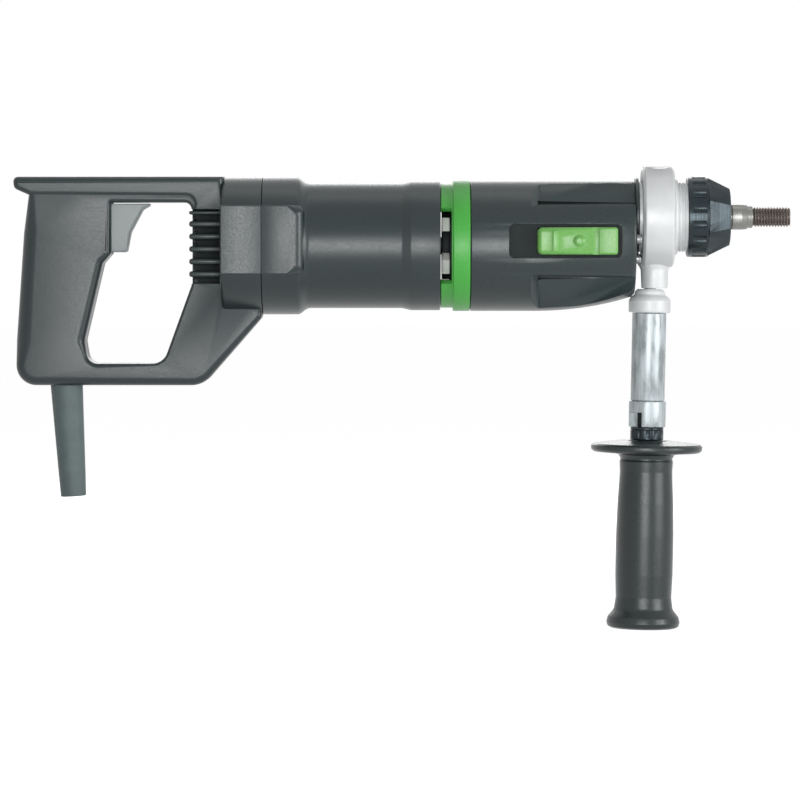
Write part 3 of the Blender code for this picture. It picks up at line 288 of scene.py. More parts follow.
def moulded(name, outlines, depth, side, steps=6):
    """Half of a moulding, from the middle plane out to depth, with its far edges rounded.

    Each outline holds (x, z, edge radius) points, the first for the outside and the rest for holes.
    side is -1 towards -Y and 1 towards +Y.
    """
    built = bmesh.new()
    middle_edges, face_edges = [], []
    for number, outline in enumerate(outlines):
        count = len(outline)
        area = sum(a[0] * b[1] - b[0] * a[1] for a, b in zip(outline, outline[1:] + outline[:1]))
        inward = math.copysign(1, area) * (-1 if number else 1)
        normals = []
        for i, (x, z, *_) in enumerate(outline):
            back = Vector((x, z)) - Vector(outline[i - 1][:2])
            ahead = Vector(outline[(i + 1) % count][:2]) - Vector((x, z))
            turned_by = back.normalized() + ahead.normalized()
            normal = Vector((-turned_by.y, turned_by.x)).normalized() * inward
            square = Vector((-ahead.y, ahead.x)).normalized() * inward
            normals.append(normal / max(0.5, normal.dot(square)))
        loops = [[built.verts.new((x * MM, 0, z * MM)) for x, z, *_ in outline]]
        for step in range(steps + 1):
            angle = math.pi / 2 * step / steps
            loop = []
            for (x, z, edge), normal in zip(outline, normals):
                inset = edge * (1 - math.cos(angle))
                y = side * (depth - edge * (1 - math.sin(angle)))
                loop.append(built.verts.new(((x + normal.x * inset) * MM, y * MM,
                                             (z + normal.y * inset) * MM)))
            loops.append(loop)
        for first, second in zip(loops, loops[1:]):
            for i in range(count):
                j = (i + 1) % count
                built.faces.new((first[i], first[j], second[j], second[i]))
        for loop, edges in ((loops[0], middle_edges), (loops[-1], face_edges)):
            edges += [built.edges.get((loop[i - 1], loop[i])) for i in range(count)]
    for edges in (middle_edges, face_edges):
        bmesh.ops.triangle_fill(built, edges=edges, use_beauty=True)
    bmesh.ops.triangulate(built, faces=built.faces)
    bmesh.ops.recalc_face_normals(built, faces=built.faces)
    mesh = mesh_of(name, built)
    soften(mesh)
    return add_mesh(name, mesh)


def loft(name, rings):
    """A closed skin over rings of points in metres, each ring with the same number of points."""
    built = bmesh.new()
    made = [[built.verts.new(point) for point in ring] for ring in rings]
    count = len(rings[0])
    for first, second in zip(made, made[1:]):
        for i in range(count):
            j = (i + 1) % count
            built.faces.new((first[i], first[j], second[j], second[i]))
    built.faces.new(made[0])
    built.faces.new(made[-1])
    bmesh.ops.recalc_face_normals(built, faces=built.faces)
    mesh = mesh_of(name, built)
    soften(mesh)
    return add_mesh(name, mesh)


def circle_x(x, z, radius, steps=96):
    turn = [math.tau * i / steps for i in range(steps)]
    return [(x * MM, radius * math.cos(a) * MM, (z + radius * math.sin(a)) * MM) for a in turn]


def sector(inner, outer, first, last, steps=16):
    angles = [math.radians(first + (last - first) * i / steps) for i in range(steps + 1)]
    outside = [(outer * math.cos(a), outer * math.sin(a)) for a in angles]
    return outside + [(inner * math.cos(a), inner * math.sin(a)) for a in reversed(angles)]


def fit(obj, finish, body, *nodes, slot=None):
    """Gives a piece its finish, its body and the CAD nodes that it stands for.

    slot, the record's material slot where that has another name than the finish, is not used.
    """
    obj.data.materials.clear()
    obj.data.materials.append(FINISH[finish])
    slot = slot or finish
    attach(obj, body)
    if nodes:
        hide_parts(*nodes)
    return obj


# ---------------------------------------------------------------- finishes

def new_finish(name, colour, roughness, metallic=0.0):
    """A Principled material, with its node tree and its shader."""
    made = bpy.data.materials.new(name)
    made.use_nodes = True
    shader = made.node_tree.nodes["Principled BSDF"]
    shader.inputs["Base Color"].default_value = (*colour, 1)
    shader.inputs["Roughness"].default_value = roughness
    shader.inputs["Metallic"].default_value = metallic
    return made, made.node_tree, shader


def wired(tree, kind, inputs=None, **settings):
    """A new node, each of whose inputs gets a value or the socket that feeds it."""
    made = tree.nodes.new(kind)
    for name, value in settings.items():
        setattr(made, name, value)
    for name, value in (inputs or {}).items():
        if isinstance(value, bpy.types.NodeSocket):
            tree.links.new(value, made.inputs[name])
        else:
            made.inputs[name].default_value = value
    return made


def noise(tree, scale, detail=3.0, stretch=(1, 1, 1)):
    """Noise over the piece's own coordinates; scale counts features in each metre."""
    where = wired(tree, "ShaderNodeTexCoord").outputs["Object"]
    mapping = wired(tree, "ShaderNodeMapping", {"Vector": where, "Scale": stretch})
    made = wired(tree, "ShaderNodeTexNoise", {
        "Vector": mapping.outputs["Vector"], "Scale": scale, "Detail": detail})
    return made.outputs["Fac"]


def ramp(tree, value, stops):
    """A colour ramp over value, from (position, colour) stops."""
    made = wired(tree, "ShaderNodeValToRGB", {"Fac": value})
    points = made.color_ramp.elements
    while len(points) < len(stops):
        points.new(0.5)
    for point, (position, colour) in zip(points, stops):
        point.position = position
        point.color = (*colour, 1)
    return made.outputs["Color"]


def span(tree, value, low, high, start=0.3, end=0.7):
    """Spreads a value from low to high; a noise lies mostly between the default start and end."""
    made = wired(tree, "ShaderNodeMapRange", {
        "Value": value, "From Min": start, "From Max": end, "To Min": low, "To Max": high})
    return made.outputs["Result"]


def bump(tree, shader, *layers):
    """Bump from (height, depth in metres) layers."""
    below = {}
    for height, depth in layers:
        made = wired(tree, "ShaderNodeBump", {
            "Height": height, "Distance": depth, "Strength": 1.0, **below})
        below = {"Normal": made.outputs["Normal"]}
    tree.links.new(below["Normal"], shader.inputs["Normal"])


def shade(colour, factor):
    return tuple(value * factor for value in colour)


def mixed(tree, factor, base, other):
    """The colour other mixed into base by factor."""
    made = wired(tree, "ShaderNodeMix", {"Factor": factor, "A": base, "B": (*other, 1)},
                 data_type="RGBA")
    return made.outputs["Result"]


def summed(tree, first, second):
    return wired(tree, "ShaderNodeMath", {0: first, 1: second}, use_clamp=True).outputs[0]


def worn(tree, base, pale, amount=0.5):
    """Colour that turns paler along the sharp edges, as handling leaves them."""
    sharpness = wired(tree, "ShaderNodeNewGeometry").outputs["Pointiness"]
    return mixed(tree, span(tree, sharpness, 0, amount, 0.52, 0.62), base, pale)


def painted_corner_shade(tree, reach=0.008):
    """Painted shade: above 0 only in the piece's own inside corners and slots, where shade falls.
    """
    hollow = wired(tree, "ShaderNodeAmbientOcclusion", {"Distance": reach},
                   samples=8, only_local=True)
    return span(tree, hollow.outputs["AO"], 1.25, -0.4)


def mottled(tree, value, colour, low, high):
    """The colour, between low and high times as bright, by a noise."""
    return ramp(tree, value, [(0.3, shade(colour, low)), (0.7, shade(colour, high))])


def plastic(name, colour, roughness, grain=0.00003, mottle=0.12, wear=0.25, gloss=0.5):
    """Moulded plastic: a fine spark-eroded grain, rubbed edges, and painted shade in the inside
    corners, which are also rougher.
    """
    made, tree, shader = new_finish(name, colour, roughness)
    shader.inputs["Specular IOR Level"].default_value = gloss
    tint = mottled(tree, noise(tree, 900), colour, 1 - mottle, 1 + mottle)
    tint = worn(tree, tint, shade(colour, 1.7), wear)
    # Painted shade: the inside corners darken towards a fifth of the colour and grow rougher.
    dust_and_shade = painted_corner_shade(tree)
    tree.links.new(mixed(tree, dust_and_shade, tint, shade(colour, 0.2)), shader.inputs["Base Color"])
    rough = span(tree, noise(tree, 700, 3), roughness - 0.05, roughness + 0.05)
    dull = span(tree, dust_and_shade, 0, 0.5)
    tree.links.new(summed(tree, rough, dull), shader.inputs["Roughness"])
    bump(tree, shader, (noise(tree, 2600, 2), grain), (noise(tree, 700, 2), grain * 0.6))
    return made


def turned_metal(name, colour, roughness, along="X", metallic=1.0, mottle=0.1, lines=9000,
                 depth=0.000012):
    """Machined metal with fine rings around the axis that it was turned on."""
    made, tree, shader = new_finish(name, colour, roughness, metallic)
    stretch = [0.012, 0.012, 0.012]
    stretch["XYZ".index(along)] = 1
    rings = noise(tree, lines, 2, stretch)
    tint = mottled(tree, noise(tree, 90, 5), colour, 1 - mottle, 1 + mottle)
    tree.links.new(tint, shader.inputs["Base Color"])
    tree.links.new(span(tree, rings, roughness - 0.07, roughness + 0.1), shader.inputs["Roughness"])
    bump(tree, shader, (rings, depth), (noise(tree, 500, 4), depth * 0.8))
    return made


def cast_metal(name, colour, roughness, metallic=0.08, speckle=0.000035):
    """Blasted and tumbled casting: a soft speckle with pale, slightly cloudy skin."""
    made, tree, shader = new_finish(name, colour, roughness, metallic)
    tint = mottled(tree, noise(tree, 55, 5), colour, 0.93, 1.04)
    tint = worn(tree, tint, (0.95, 0.96, 0.97), 0.4)
    tree.links.new(tint, shader.inputs["Base Color"])
    tree.links.new(span(tree, noise(tree, 300, 4), roughness - 0.08, roughness + 0.08),
                   shader.inputs["Roughness"])
    bump(tree, shader, (noise(tree, 1500, 3), speckle), (noise(tree, 240, 3), speckle * 1.5))
    return made


def drawn_tube(name, colour, roughness):
    """Drawn and plated tube, with streaks along its length and dull blotches."""
    made, tree, shader = new_finish(name, colour, roughness, 0.2)
    streaks = noise(tree, 700, 4, (1, 1, 0.03))
    blotches = noise(tree, 160, 5, (1, 1, 0.35))
    dull = ramp(tree, blotches, [
        (0.38, shade(colour, 0.62)), (0.55, colour), (0.75, shade(colour, 1.12))])
    drawn = ramp(tree, streaks, [(0.35, (0.62, 0.65, 0.67)), (0.62, (1, 1, 1))])
    mix = wired(tree, "ShaderNodeMix", {"Factor": 0.55, "A": dull, "B": drawn},
                data_type="RGBA", blend_type="MULTIPLY")
    tree.links.new(mix.outputs["Result"], shader.inputs["Base Color"])
    tree.links.new(span(tree, blotches, roughness - 0.1, roughness + 0.12),
                   shader.inputs["Roughness"])
    bump(tree, shader, (streaks, 0.00002), (noise(tree, 900, 3), 0.00002))
    return made


def rubber(name, colour, roughness):
    made, tree, shader = new_finish(name, colour, roughness)
    dust_and_shade = noise(tree, 70, 6)
    tint = ramp(tree, dust_and_shade, [(0.35, shade(colour, 0.85)), (0.75, shade(colour, 1.25))])
    tree.links.new(tint, shader.inputs["Base Color"])
    tree.links.new(span(tree, dust_and_shade, roughness - 0.05, roughness + 0.08), shader.inputs["Roughness"])
    bump(tree, shader, (noise(tree, 1600, 3), 0.00004))
    return made


RECIPES = {
    "shell_plastic": (plastic, (0.013, 0.025, 0.027), 0.33, 0.00003),
    "grip_plastic": (plastic, (0.01, 0.018, 0.019), 0.32, 0.00004),
    "gearcase_alloy": (plastic, (0.014, 0.026, 0.027), 0.32, 0.00002, 0.1, 0.5),
    "green_plastic": (plastic, (0.075, 0.46, 0.065), 0.4, 0.00002, 0.06, 0.15),
    "lime_plastic": (plastic, (0.17, 0.47, 0.1), 0.3, 0.00001, 0.05, 0.3),
    "grey_plastic": (plastic, (0.33, 0.37, 0.37), 0.42, 0.00002, 0.05, 0.2),
    "black_plastic": (plastic, (0.006, 0.011, 0.011), 0.6, 0.00003, 0.1, 0.3, 0.25),
    "pale_plastic": (plastic, (0.72, 0.74, 0.7), 0.45, 0.00001, 0.05, 0.1),
    "sleeve_rubber": (rubber, (0.115, 0.155, 0.155), 0.55),
    "cast_alloy": (cast_metal, (0.8, 0.82, 0.83), 0.42),
    "tube_alloy": (drawn_tube, (0.56, 0.62, 0.64), 0.32),
    "steel": (turned_metal, (0.22, 0.22, 0.21), 0.32),
    "thread_steel": (turned_metal, (0.2, 0.175, 0.16), 0.42),
    "screw_steel": (turned_metal, (0.26, 0.27, 0.27), 0.34, "Y"),
    "dark_steel": (turned_metal, (0.024, 0.034, 0.039), 0.28, "X", 0.7, 0.15, 2000, 0.00002),
    "copper": (turned_metal, (0.72, 0.31, 0.13), 0.35),
    "brass": (turned_metal, (0.72, 0.52, 0.22), 0.35),
    "carbon": (rubber, (0.03, 0.03, 0.031), 0.6),
}
FINISH = {name: make(name, *values) for name, (make, *values) in RECIPES.items()}


def finish_frame():
    """Gives every CAD node the finish of its slot."""
    for part in frame["record"]["subparts"]:
        skin = NODES[part["node"]].data.materials
        skin.clear()
        skin.append(FINISH[part["material_slot"]])


# ---------------------------------------------------------------- rear grip

SHELL_LOW, SHELL_HIGH = edges_mm("handle_shell_left")
PAD_Y = -SHELL_LOW.y
TIP_X, GRIP_BOTTOM_Z = SHELL_LOW.x, SHELL_LOW.z
SHELL_FRONT_X, GRIP_TOP_Z = SHELL_HIGH.x, SHELL_HIGH.z
BARREL_R = (edges_mm("motor_housing")[1].z - edges_mm("motor_housing")[0].z) / 2
BARREL_REAR_X = SHELL_FRONT_X - 28.0
BARREL_WALL = 3.5
OPENING_X = SHELL_FRONT_X - 49.0
GRIP_X = SHELL_FRONT_X - 105.0
CORD_X = -505.4
BODY_HALF_W, BAR_HALF_W = 18.8, 20.0
PARTING = 0.15
BAR_UNDER_Z = 14.8
PAD_TOP_Z, PAD_BOTTOM_Z = 7.9, -39.7
PAD_FRONT_X = edges_mm("motor_housing")[0].x + 29.8
VENT_TOP_Z, VENT_BOTTOM_Z, VENT_PITCH, VENT_RIB_H = 5.4, -46.4, 8.7, 4.1
FIRST_RIB_Z = -4.95

BODY_OUTLINE = [
    (-529.0, 25.0, 4, 3), (BARREL_REAR_X + 1, 25.0, 0, 3), (BARREL_REAR_X + 1, -50, 0, 1),
    (SHELL_FRONT_X, -50, 0, 1), (SHELL_FRONT_X, -69.8, 5, 4), (-409.4, GRIP_BOTTOM_Z, 18, 5.5),
    (-539.5, GRIP_BOTTOM_Z, 14, 6.5), (-539.5, -86, 40, 11), (-534.2, -10.3, 60, 10)]
OPENING_OUTLINE = [
    (GRIP_X, 10.0, 0.5, 3), (OPENING_X, 10.0, 5, 2.5), (OPENING_X, -47.4, 5, 2),
    (-437.0, -102.0, 11, 2), (-489.5, -102.0, 8, 3.5), (-491.6, -86, 8, 6.5),
    (-479.0, -32.5, 4, 6), (GRIP_X, -25.6, 1.5, 4)]
BAR_OUTLINE = [
    (TIP_X - 0.4, GRIP_TOP_Z, 5, 4.5), (BARREL_REAR_X + 1, GRIP_TOP_Z, 0, 4.5),
    (BARREL_REAR_X + 1, VENT_TOP_Z - 3, 0, 1), (OPENING_X + 2, VENT_TOP_Z - 3, 1.4, 1.2),
    (OPENING_X + 2, BAR_UNDER_Z, 6.5, 2.5), (-529.2, BAR_UNDER_Z, 4.5, 3.5),
    (-540.5, 19.8, 4.5, 3.5)]
HOLLOW = [
    (-525.0, 12.5, 4), (-515.0, 21.5, 2), (-394.0, 21.5, 0), (-394.0, -66, 0), (-413.5, -112.0, 12),
    (-530.0, -112.0, 10), (-531.0, -86, 30), (-526.0, -10.3, 50)]
HOLLOW_ISLAND = [
    (GRIP_X - 6.5, 15.0, 2), (OPENING_X + 3.2, 15.0, 5), (OPENING_X + 3.2, -48.0, 5),
    (-434.0, -106.0, 12), (-494.5, -106.0, 9), (-498.0, -86, 8), (-486.0, -31.0, 4),
    (GRIP_X - 6.5, -24.0, 2)]
GRIP_SCREWS = [(-520.0, 16.0), (-528.0, -96.0), (-432.0, -109.2), (-402.5, 19.0)]


def across_y(side, near, far):
    """The lower and the upper Y of what lies between two distances on one side."""
    return sorted((side * near, side * far))


def half_space(name, side):
    """Everything beyond the parting plane, seen from the given side."""
    near, far = sorted((-side * 200, side * PARTING))
    return block(name, (-700, near, -300), (100, far, 300))


def side_pad(name, side, start, end):
    """The flat pad on the barrel between two places along X, with a rounded front end."""
    pad = moulded(name, [rounded([
        (BARREL_REAR_X, PAD_TOP_Z, 1, 0.8), (PAD_FRONT_X - 12, PAD_TOP_Z, 0, 0.9),
        (PAD_FRONT_X, PAD_TOP_Z, 8, 7), (PAD_FRONT_X, PAD_BOTTOM_Z, 8, 7),
        (PAD_FRONT_X - 12, PAD_BOTTOM_Z, 0, 0.9), (BARREL_REAR_X, PAD_BOTTOM_Z, 1, 0.8)])],
        PAD_Y, side)
    keep_out = [block("pad_rear", (-600, -80, -80), (start, 80, 80)),
                block("pad_front", (end, -80, -80), (-200, 80, 80)),
                block("pad_core", (-600, -30, -80), (-200, 30, 80))]
    return carve(pad, cut=keep_out)


def vent_ribs(side):
    """The bars across the air inlet, whose round ends stand into the hand opening."""
    ribs = []
    heights = [(VENT_TOP_Z - 3.8, VENT_TOP_Z - 1.3)]
    for number in range(5):
        middle = FIRST_RIB_Z - VENT_PITCH * number
        heights.append((middle - VENT_RIB_H / 2, middle + VENT_RIB_H / 2))
    for number, (bottom, top) in enumerate(heights):
        near, far = across_y(side, 2.0, BAR_HALF_W)
        ribs.append(block(f"vent_rib_{number}", (OPENING_X - 1.6, near, bottom),
                          (BARREL_REAR_X + 0.6, far, top), bevel=min(1.7, (top - bottom) * 0.45)))
    return ribs


def handle_shell(node, side):
    outlines = [rounded(BODY_OUTLINE, 12), rounded(OPENING_OUTLINE, 12)]
    shell = moulded(f"{node}_fine", outlines, BODY_HALF_W, side, 8)
    bar = moulded("bar", [rounded(BAR_OUTLINE, 10)], BAR_HALF_W, side, 8)
    barrel = turned("shell_barrel", [
        (SHELL_FRONT_X, 0, 0), (SHELL_FRONT_X, BARREL_R, 0.5), (BARREL_REAR_X, BARREL_R, 2.6),
        (BARREL_REAR_X, 0, 0)], "X", (0, MOTOR_Z), 128)
    carve(shell, join=[bar, barrel, side_pad("shell_pad", side, -500, SHELL_FRONT_X)])
    hollow = slab("grip_hollow", [rounded(HOLLOW, 5), rounded(HOLLOW_ISLAND, 5)], 2 * 15.5)
    bosses = [rod(f"grip_boss_{n}", 4.2, -BAR_HALF_W, BAR_HALF_W, "Y", place, 32)
              for n, place in enumerate(GRIP_SCREWS)]
    carve(hollow, cut=bosses)
    near, far = across_y(side, 2.6, 30)
    inlet = block("inlet", (OPENING_X - 5, near, VENT_BOTTOM_Z),
                  (BARREL_REAR_X - 1.2, far, VENT_TOP_Z))
    trigger_way = block("trigger_way", (GRIP_X - 9, -9.6, -25.4), (GRIP_X + 2, 9.6, 9.9))
    cord_way = rod("cord_way", 11.8, -125, -105, "Z", (CORD_X, 0), 64)
    bore = rod("bore", BARREL_R - BARREL_WALL, BARREL_REAR_X + 3, 0, "X", (0, MOTOR_Z), 96)
    cuts = [hollow, inlet, trigger_way, cord_way, bore, half_space("far_half", side)]
    near, far = across_y(side, 15.2 if side > 0 else -1, BAR_HALF_W + 1 if side > 0 else 14)
    cuts += [rod(f"screw_way_{n}", 3.95 if side > 0 else 1.9, near, far, "Y", place, 40)
             for n, place in enumerate(GRIP_SCREWS)]
    if side > 0:
        cuts += [rod(f"shank_way_{n}", 1.95, -1, 16, "Y", place, 24)
                 for n, place in enumerate(GRIP_SCREWS)]
    carve(shell, cut=cuts)
    # A black sheet behind the vent slots, as painted shade for the dark inside of the grip.
    near, far = across_y(side, PARTING, 2.6)
    inner_shade = block(f"vent_painted_shade_{'left' if side < 0 else 'right'}",
                   (OPENING_X + 0.2, near, VENT_BOTTOM_Z - 0.6),
                   (BARREL_REAR_X + 2, far, VENT_TOP_Z + 1.5), 0.2)
    fit(inner_shade, "black_plastic", "machine", slot="shell_plastic")
    carve(shell, join=vent_ribs(side), bevel=0.25, angle=50)
    return fit(shell, "shell_plastic", "machine", node)


def trigger():
    low, high = edges_mm("trigger")
    outline = rounded([
        (low.x, high.z, 0, 0.5), (-443.8, high.z, 1.0, 1.0), (-451.5, 5.0, 4, 2.6),
        (-460.0, -11.0, 12, 2.6), (-462.6, low.z, 1.8, 1.6), (low.x, low.z, 0, 0.5)], 12)
    half = moulded("trigger_fine", [outline], high.y, -1)
    other = moulded("trigger_half", [outline], high.y, 1)
    carve(half, join=[other])
    return fit(half, "grey_plastic", "trigger", "trigger")


def tilted(obj, pivot, angle):
    """Leans a shape in the XZ plane about a point in millimetres."""
    move = Matrix.Translation([value * MM for value in pivot])
    obj.data.transform(move @ Matrix.Rotation(angle, 4, "Y") @ move.inverted())
    return obj


def cord_sleeve():
    """The rubber guard for the cord, held in the grip by its collar and leaning a little."""
    bottom = GRIP_BOTTOM_Z - 78.0
    corners = [
        (-110.3, 13.0, 0.4), (-113.0, 13.0, 0.4), (-113.0, 11.2, 0), (GRIP_BOTTOM_Z - 1, 11.2, 0.3),
        (bottom + 1, 8.9, 0), (bottom, 8.8, 1.2), (bottom, 4.6, 0.5), (-110.3, 4.6, 0.3)]
    sleeve = turned("cord_sleeve_fine", corners, "Z", (CORD_X, 0))
    tilted(sleeve, (CORD_X, 0, GRIP_BOTTOM_Z), math.radians(-3.4))
    return fit(sleeve, "sleeve_rubber", "machine", "cord_sleeve")


# ---------------------------------------------------------------- motor

MOTOR_LOW, MOTOR_HIGH = edges_mm("motor_housing")
MOTOR_AXIS = (0, MOTOR_Z)
FLANGE_LOW, FLANGE_HIGH = edges_mm("bearing_flange")
FLANGE_R = FLANGE_HIGH.y
FLANGE_REAR_R = 43.2
FLANGE_STEP_X = FLANGE_LOW.x + 8.4
WINDOW_HALF_ANGLE = 38
FAN_BLADES = 7


def motor_housing():
    rear, front = MOTOR_LOW.x, MOTOR_HIGH.x
    outside = [
        (front, 0, 0), (front, 45.0, 0.9), (front - 20.4, 45.0, 4), (front - 26.7, 43.5, 6),
        (-336.7, 43.5, 7), (-342.3, BARREL_R, 5), (rear, BARREL_R, 0.5), (rear, 0, 0)]
    housing = turned("motor_housing_fine", outside, "X", MOTOR_AXIS, 160)
    bore = turned("motor_bore", [
        (0, 0, 0), (0, 40.0, 0), (-336.7, 40.0, 0), (-342.3, 44.4, 0), (-360.0, 44.4, 0),
        (-360.0, 11.0, 0), (-367.0, 11.0, 0), (-367.0, 6.0, 0), (-400, 6.0, 0), (-400, 0, 0)],
        "X", MOTOR_AXIS, 96)
    pads = [side_pad(f"motor_pad_{side}", side, rear, -300) for side in (-1, 1)]
    carve(housing, join=pads)
    holes = rods_around("air_hole", 4, 28, 9, -400, -355, centre=MOTOR_AXIS)
    carve(housing, cut=[bore, *holes], bevel=0.2, angle=50)
    return fit(housing, "shell_plastic", "machine", "motor_housing")


def bearing_flange():
    """The green ring: an air window on each side stands behind a smooth band."""
    rear, front = FLANGE_LOW.x, FLANGE_HIGH.x
    flange = turned("bearing_flange_fine", [
        (front, 41.0, 0), (front, FLANGE_R, 0.9), (FLANGE_STEP_X, FLANGE_R, 0.7),
        (FLANGE_STEP_X, FLANGE_REAR_R, 0.3), (rear, FLANGE_REAR_R, 0.3), (rear, 38.5, 0),
        (-234.0, 38.5, 0), (-234.0, 13.0, 0), (-225.5, 13.0, 0), (-225.5, 7.0, 0), (-224.0, 7.0, 0),
        (-224.0, 41.0, 0)], "X", MOTOR_AXIS, 160)
    windows = []
    for middle in (0, 180):
        outline = sector(30, 60, middle - WINDOW_HALF_ANGLE, middle + WINDOW_HALF_ANGLE, 24)
        windows.append(slab("air_window", [outline], FLANGE_STEP_X - rear + 1, "YZ",
                            ((FLANGE_STEP_X + rear) / 2 - 1.5, *MOTOR_AXIS)))
    carve(flange, cut=windows, bevel=0.25, angle=50)
    return fit(flange, "green_plastic", "machine", "bearing_flange")


def cooling_fan():
    """The fan behind the windows: swept pale blades around a drum and disc that are dark as painted
    shade.
    """
    low, high = edges_mm("cooling_fan")
    tip_r, drum_r = high.y - 0.2, 26.0
    outlines = []
    steps = 8
    for number in range(FAN_BLADES):
        start = math.pi + math.tau * (number + 0.5) / FAN_BLADES - 0.35
        lead, trail = [], []
        for step in range(steps + 1):
            share = step / steps
            radius = drum_r - 1 + (tip_r - drum_r + 1) * share
            angle = start + 0.35 * (0.65 + 0.35 * share)
            half = 0.15
            lead.append((radius * math.cos(angle + half), radius * math.sin(angle + half)))
            trail.append((radius * math.cos(angle - half), radius * math.sin(angle - half)))
        outlines.append(lead + trail[::-1])
    length = high.x - low.x - 1.9
    place = (low.x + length / 2 + 0.1, *MOTOR_AXIS)
    blades = [slab(f"fan_blade_{n}", [outline], length, "YZ", place)
              for n, outline in enumerate(outlines)]
    vanes = rod("fan_blades_fine", drum_r - 0.4, low.x + 0.2, high.x - 1.8, "X", MOTOR_AXIS, 96)
    vane_bore = rod("vane_bore", 20, low.x - 1, high.x + 1, "X", MOTOR_AXIS, 64)
    carve(vanes, join=blades, cut=[vane_bore], bevel=0.2, angle=50)
    fit(vanes, "pale_plastic", "armature", "cooling_fan")
    # The drum and disc are black as painted shade, where the pale fan lies in shade behind the
    # windows.
    drum = turned("fan_drum_painted_shade", [
        (low.x, 6.4, 0), (low.x, drum_r, 0.8), (high.x - 1.6, drum_r, 0.4),
        (high.x - 1.6, tip_r, 0.3), (high.x, tip_r, 0.3), (high.x, 6.4, 0)], "X", MOTOR_AXIS, 96)
    return fit(drum, "black_plastic", "armature", "cooling_fan", slot="pale_plastic")


# ---------------------------------------------------------------- gear housing

CASE_LOW, CASE_HIGH = edges_mm("gear_housing")
CASE_FRONT_R = 40.2
POCKET_REAR_X = -180.8
POCKET_TOP_Z, POCKET_BOTTOM_Z = 7.0, -40.0
POCKET_AXIS_Z = MOTOR_Z + 1.5
POCKET_LEAN = math.radians(51)
POCKET_WALL_Y, POCKET_WALL_LEAN = 40.0, math.radians(8)
POCKET_ROOT_Y = {1: 22.5, -1: 28.0}
POCKET_FLOOR, POCKET_FLOOR_FRONT = 38.4, 35.0
KEEL_HALF_W = 13.0
SIDE_FACE_Y = 44.0
RECESS = (-197.2, -118.5, -28.9, -4.6)
RECESS_FLOOR_Y = -38.6
SLIDE_TRAVEL = 19.0


def case_stations():
    """Circles whose tops lie on one line while their radius falls towards the front."""
    top = MOTOR_Z + FLANGE_R
    rear, front = CASE_LOW.x, CASE_HIGH.x
    rings = [circle_x(rear, MOTOR_Z, FLANGE_R - 0.6, 160),
             circle_x(rear + 0.6, MOTOR_Z, FLANGE_R, 160)]
    steps = 16
    for step in range(steps + 1):
        share = 0.975 * step / steps
        radius = FLANGE_R - (FLANGE_R - CASE_FRONT_R) * share ** 2.2
        along = POCKET_REAR_X + (front - POCKET_REAR_X) * share
        rings.append(circle_x(along, top - radius, radius, 160))
    middle = top - CASE_FRONT_R
    nose = 2.2
    for step in range(1, 6):
        angle = math.pi / 2 * step / 5
        rings.append(circle_x(front - nose * (1 - math.sin(angle)), middle,
                              CASE_FRONT_R - 0.3 - nose * (1 - math.cos(angle)), 160))
    return rings


def pocket(name, edge_z, up):
    """A pocket on each side, with a leaning floor, a sloped rear end and a deep groove at its wall.

    edge_z is where the wall leaves the housing's side; up is 1 above the middle band, -1 below.
    """
    front = CASE_HIGH.x + 12
    outline = rounded([
        (POCKET_REAR_X - 1, 62, 0), (POCKET_REAR_X - 1, 45, 0),
        (POCKET_REAR_X + 5.5, POCKET_FLOOR, 4), (front, POCKET_FLOOR_FRONT, 0), (front, 62, 0)], 8)
    pivot = Matrix.Translation((0, 0, POCKET_AXIS_Z * MM))
    halves = []
    for side in (-1, 1):
        half = slab(name, [outline], 70)
        lean = POCKET_LEAN if up > 0 else math.pi - POCKET_LEAN
        half.data.transform(pivot @ Matrix.Rotation(-side * lean, 4, "X"))
        wall = block(f"{name}_wall", (-300, -90, -120), (0, 90, 0))
        foot = Matrix.Translation((0, side * POCKET_WALL_Y * MM, edge_z * MM))
        turn = side * POCKET_WALL_LEAN if up > 0 else math.pi - side * POCKET_WALL_LEAN
        wall.data.transform(foot @ Matrix.Rotation(-turn, 4, "X"))
        near, far = across_y(side, KEEL_HALF_W, -90)
        keel = block(f"{name}_keel", (-300, near, -200), (0, far, 200))
        root = slab(f"{name}_root", [[
            (side * 50, edge_z - up), (side * POCKET_ROOT_Y[up], edge_z + up * 2),
            (side * POCKET_ROOT_Y[up], edge_z + up * 2.6), (side * 50, edge_z + up * 14)]],
            -POCKET_REAR_X - 100, "YZ", ((POCKET_REAR_X - 100) / 2 + 4, 0, 0))
        halves.append(carve(half, join=[root], cut=[wall, keel]))
    return carve(halves[0], join=halves[1:])


def fork_slot():
    """The opening in the recess' floor for the shift fork, over the slide's whole travel."""
    low, high = edges_mm("shift_fork")
    return block("fork_slot", (low.x - SLIDE_TRAVEL - 1, -50, -12.8), (high.x + 1, -20, -7.4))


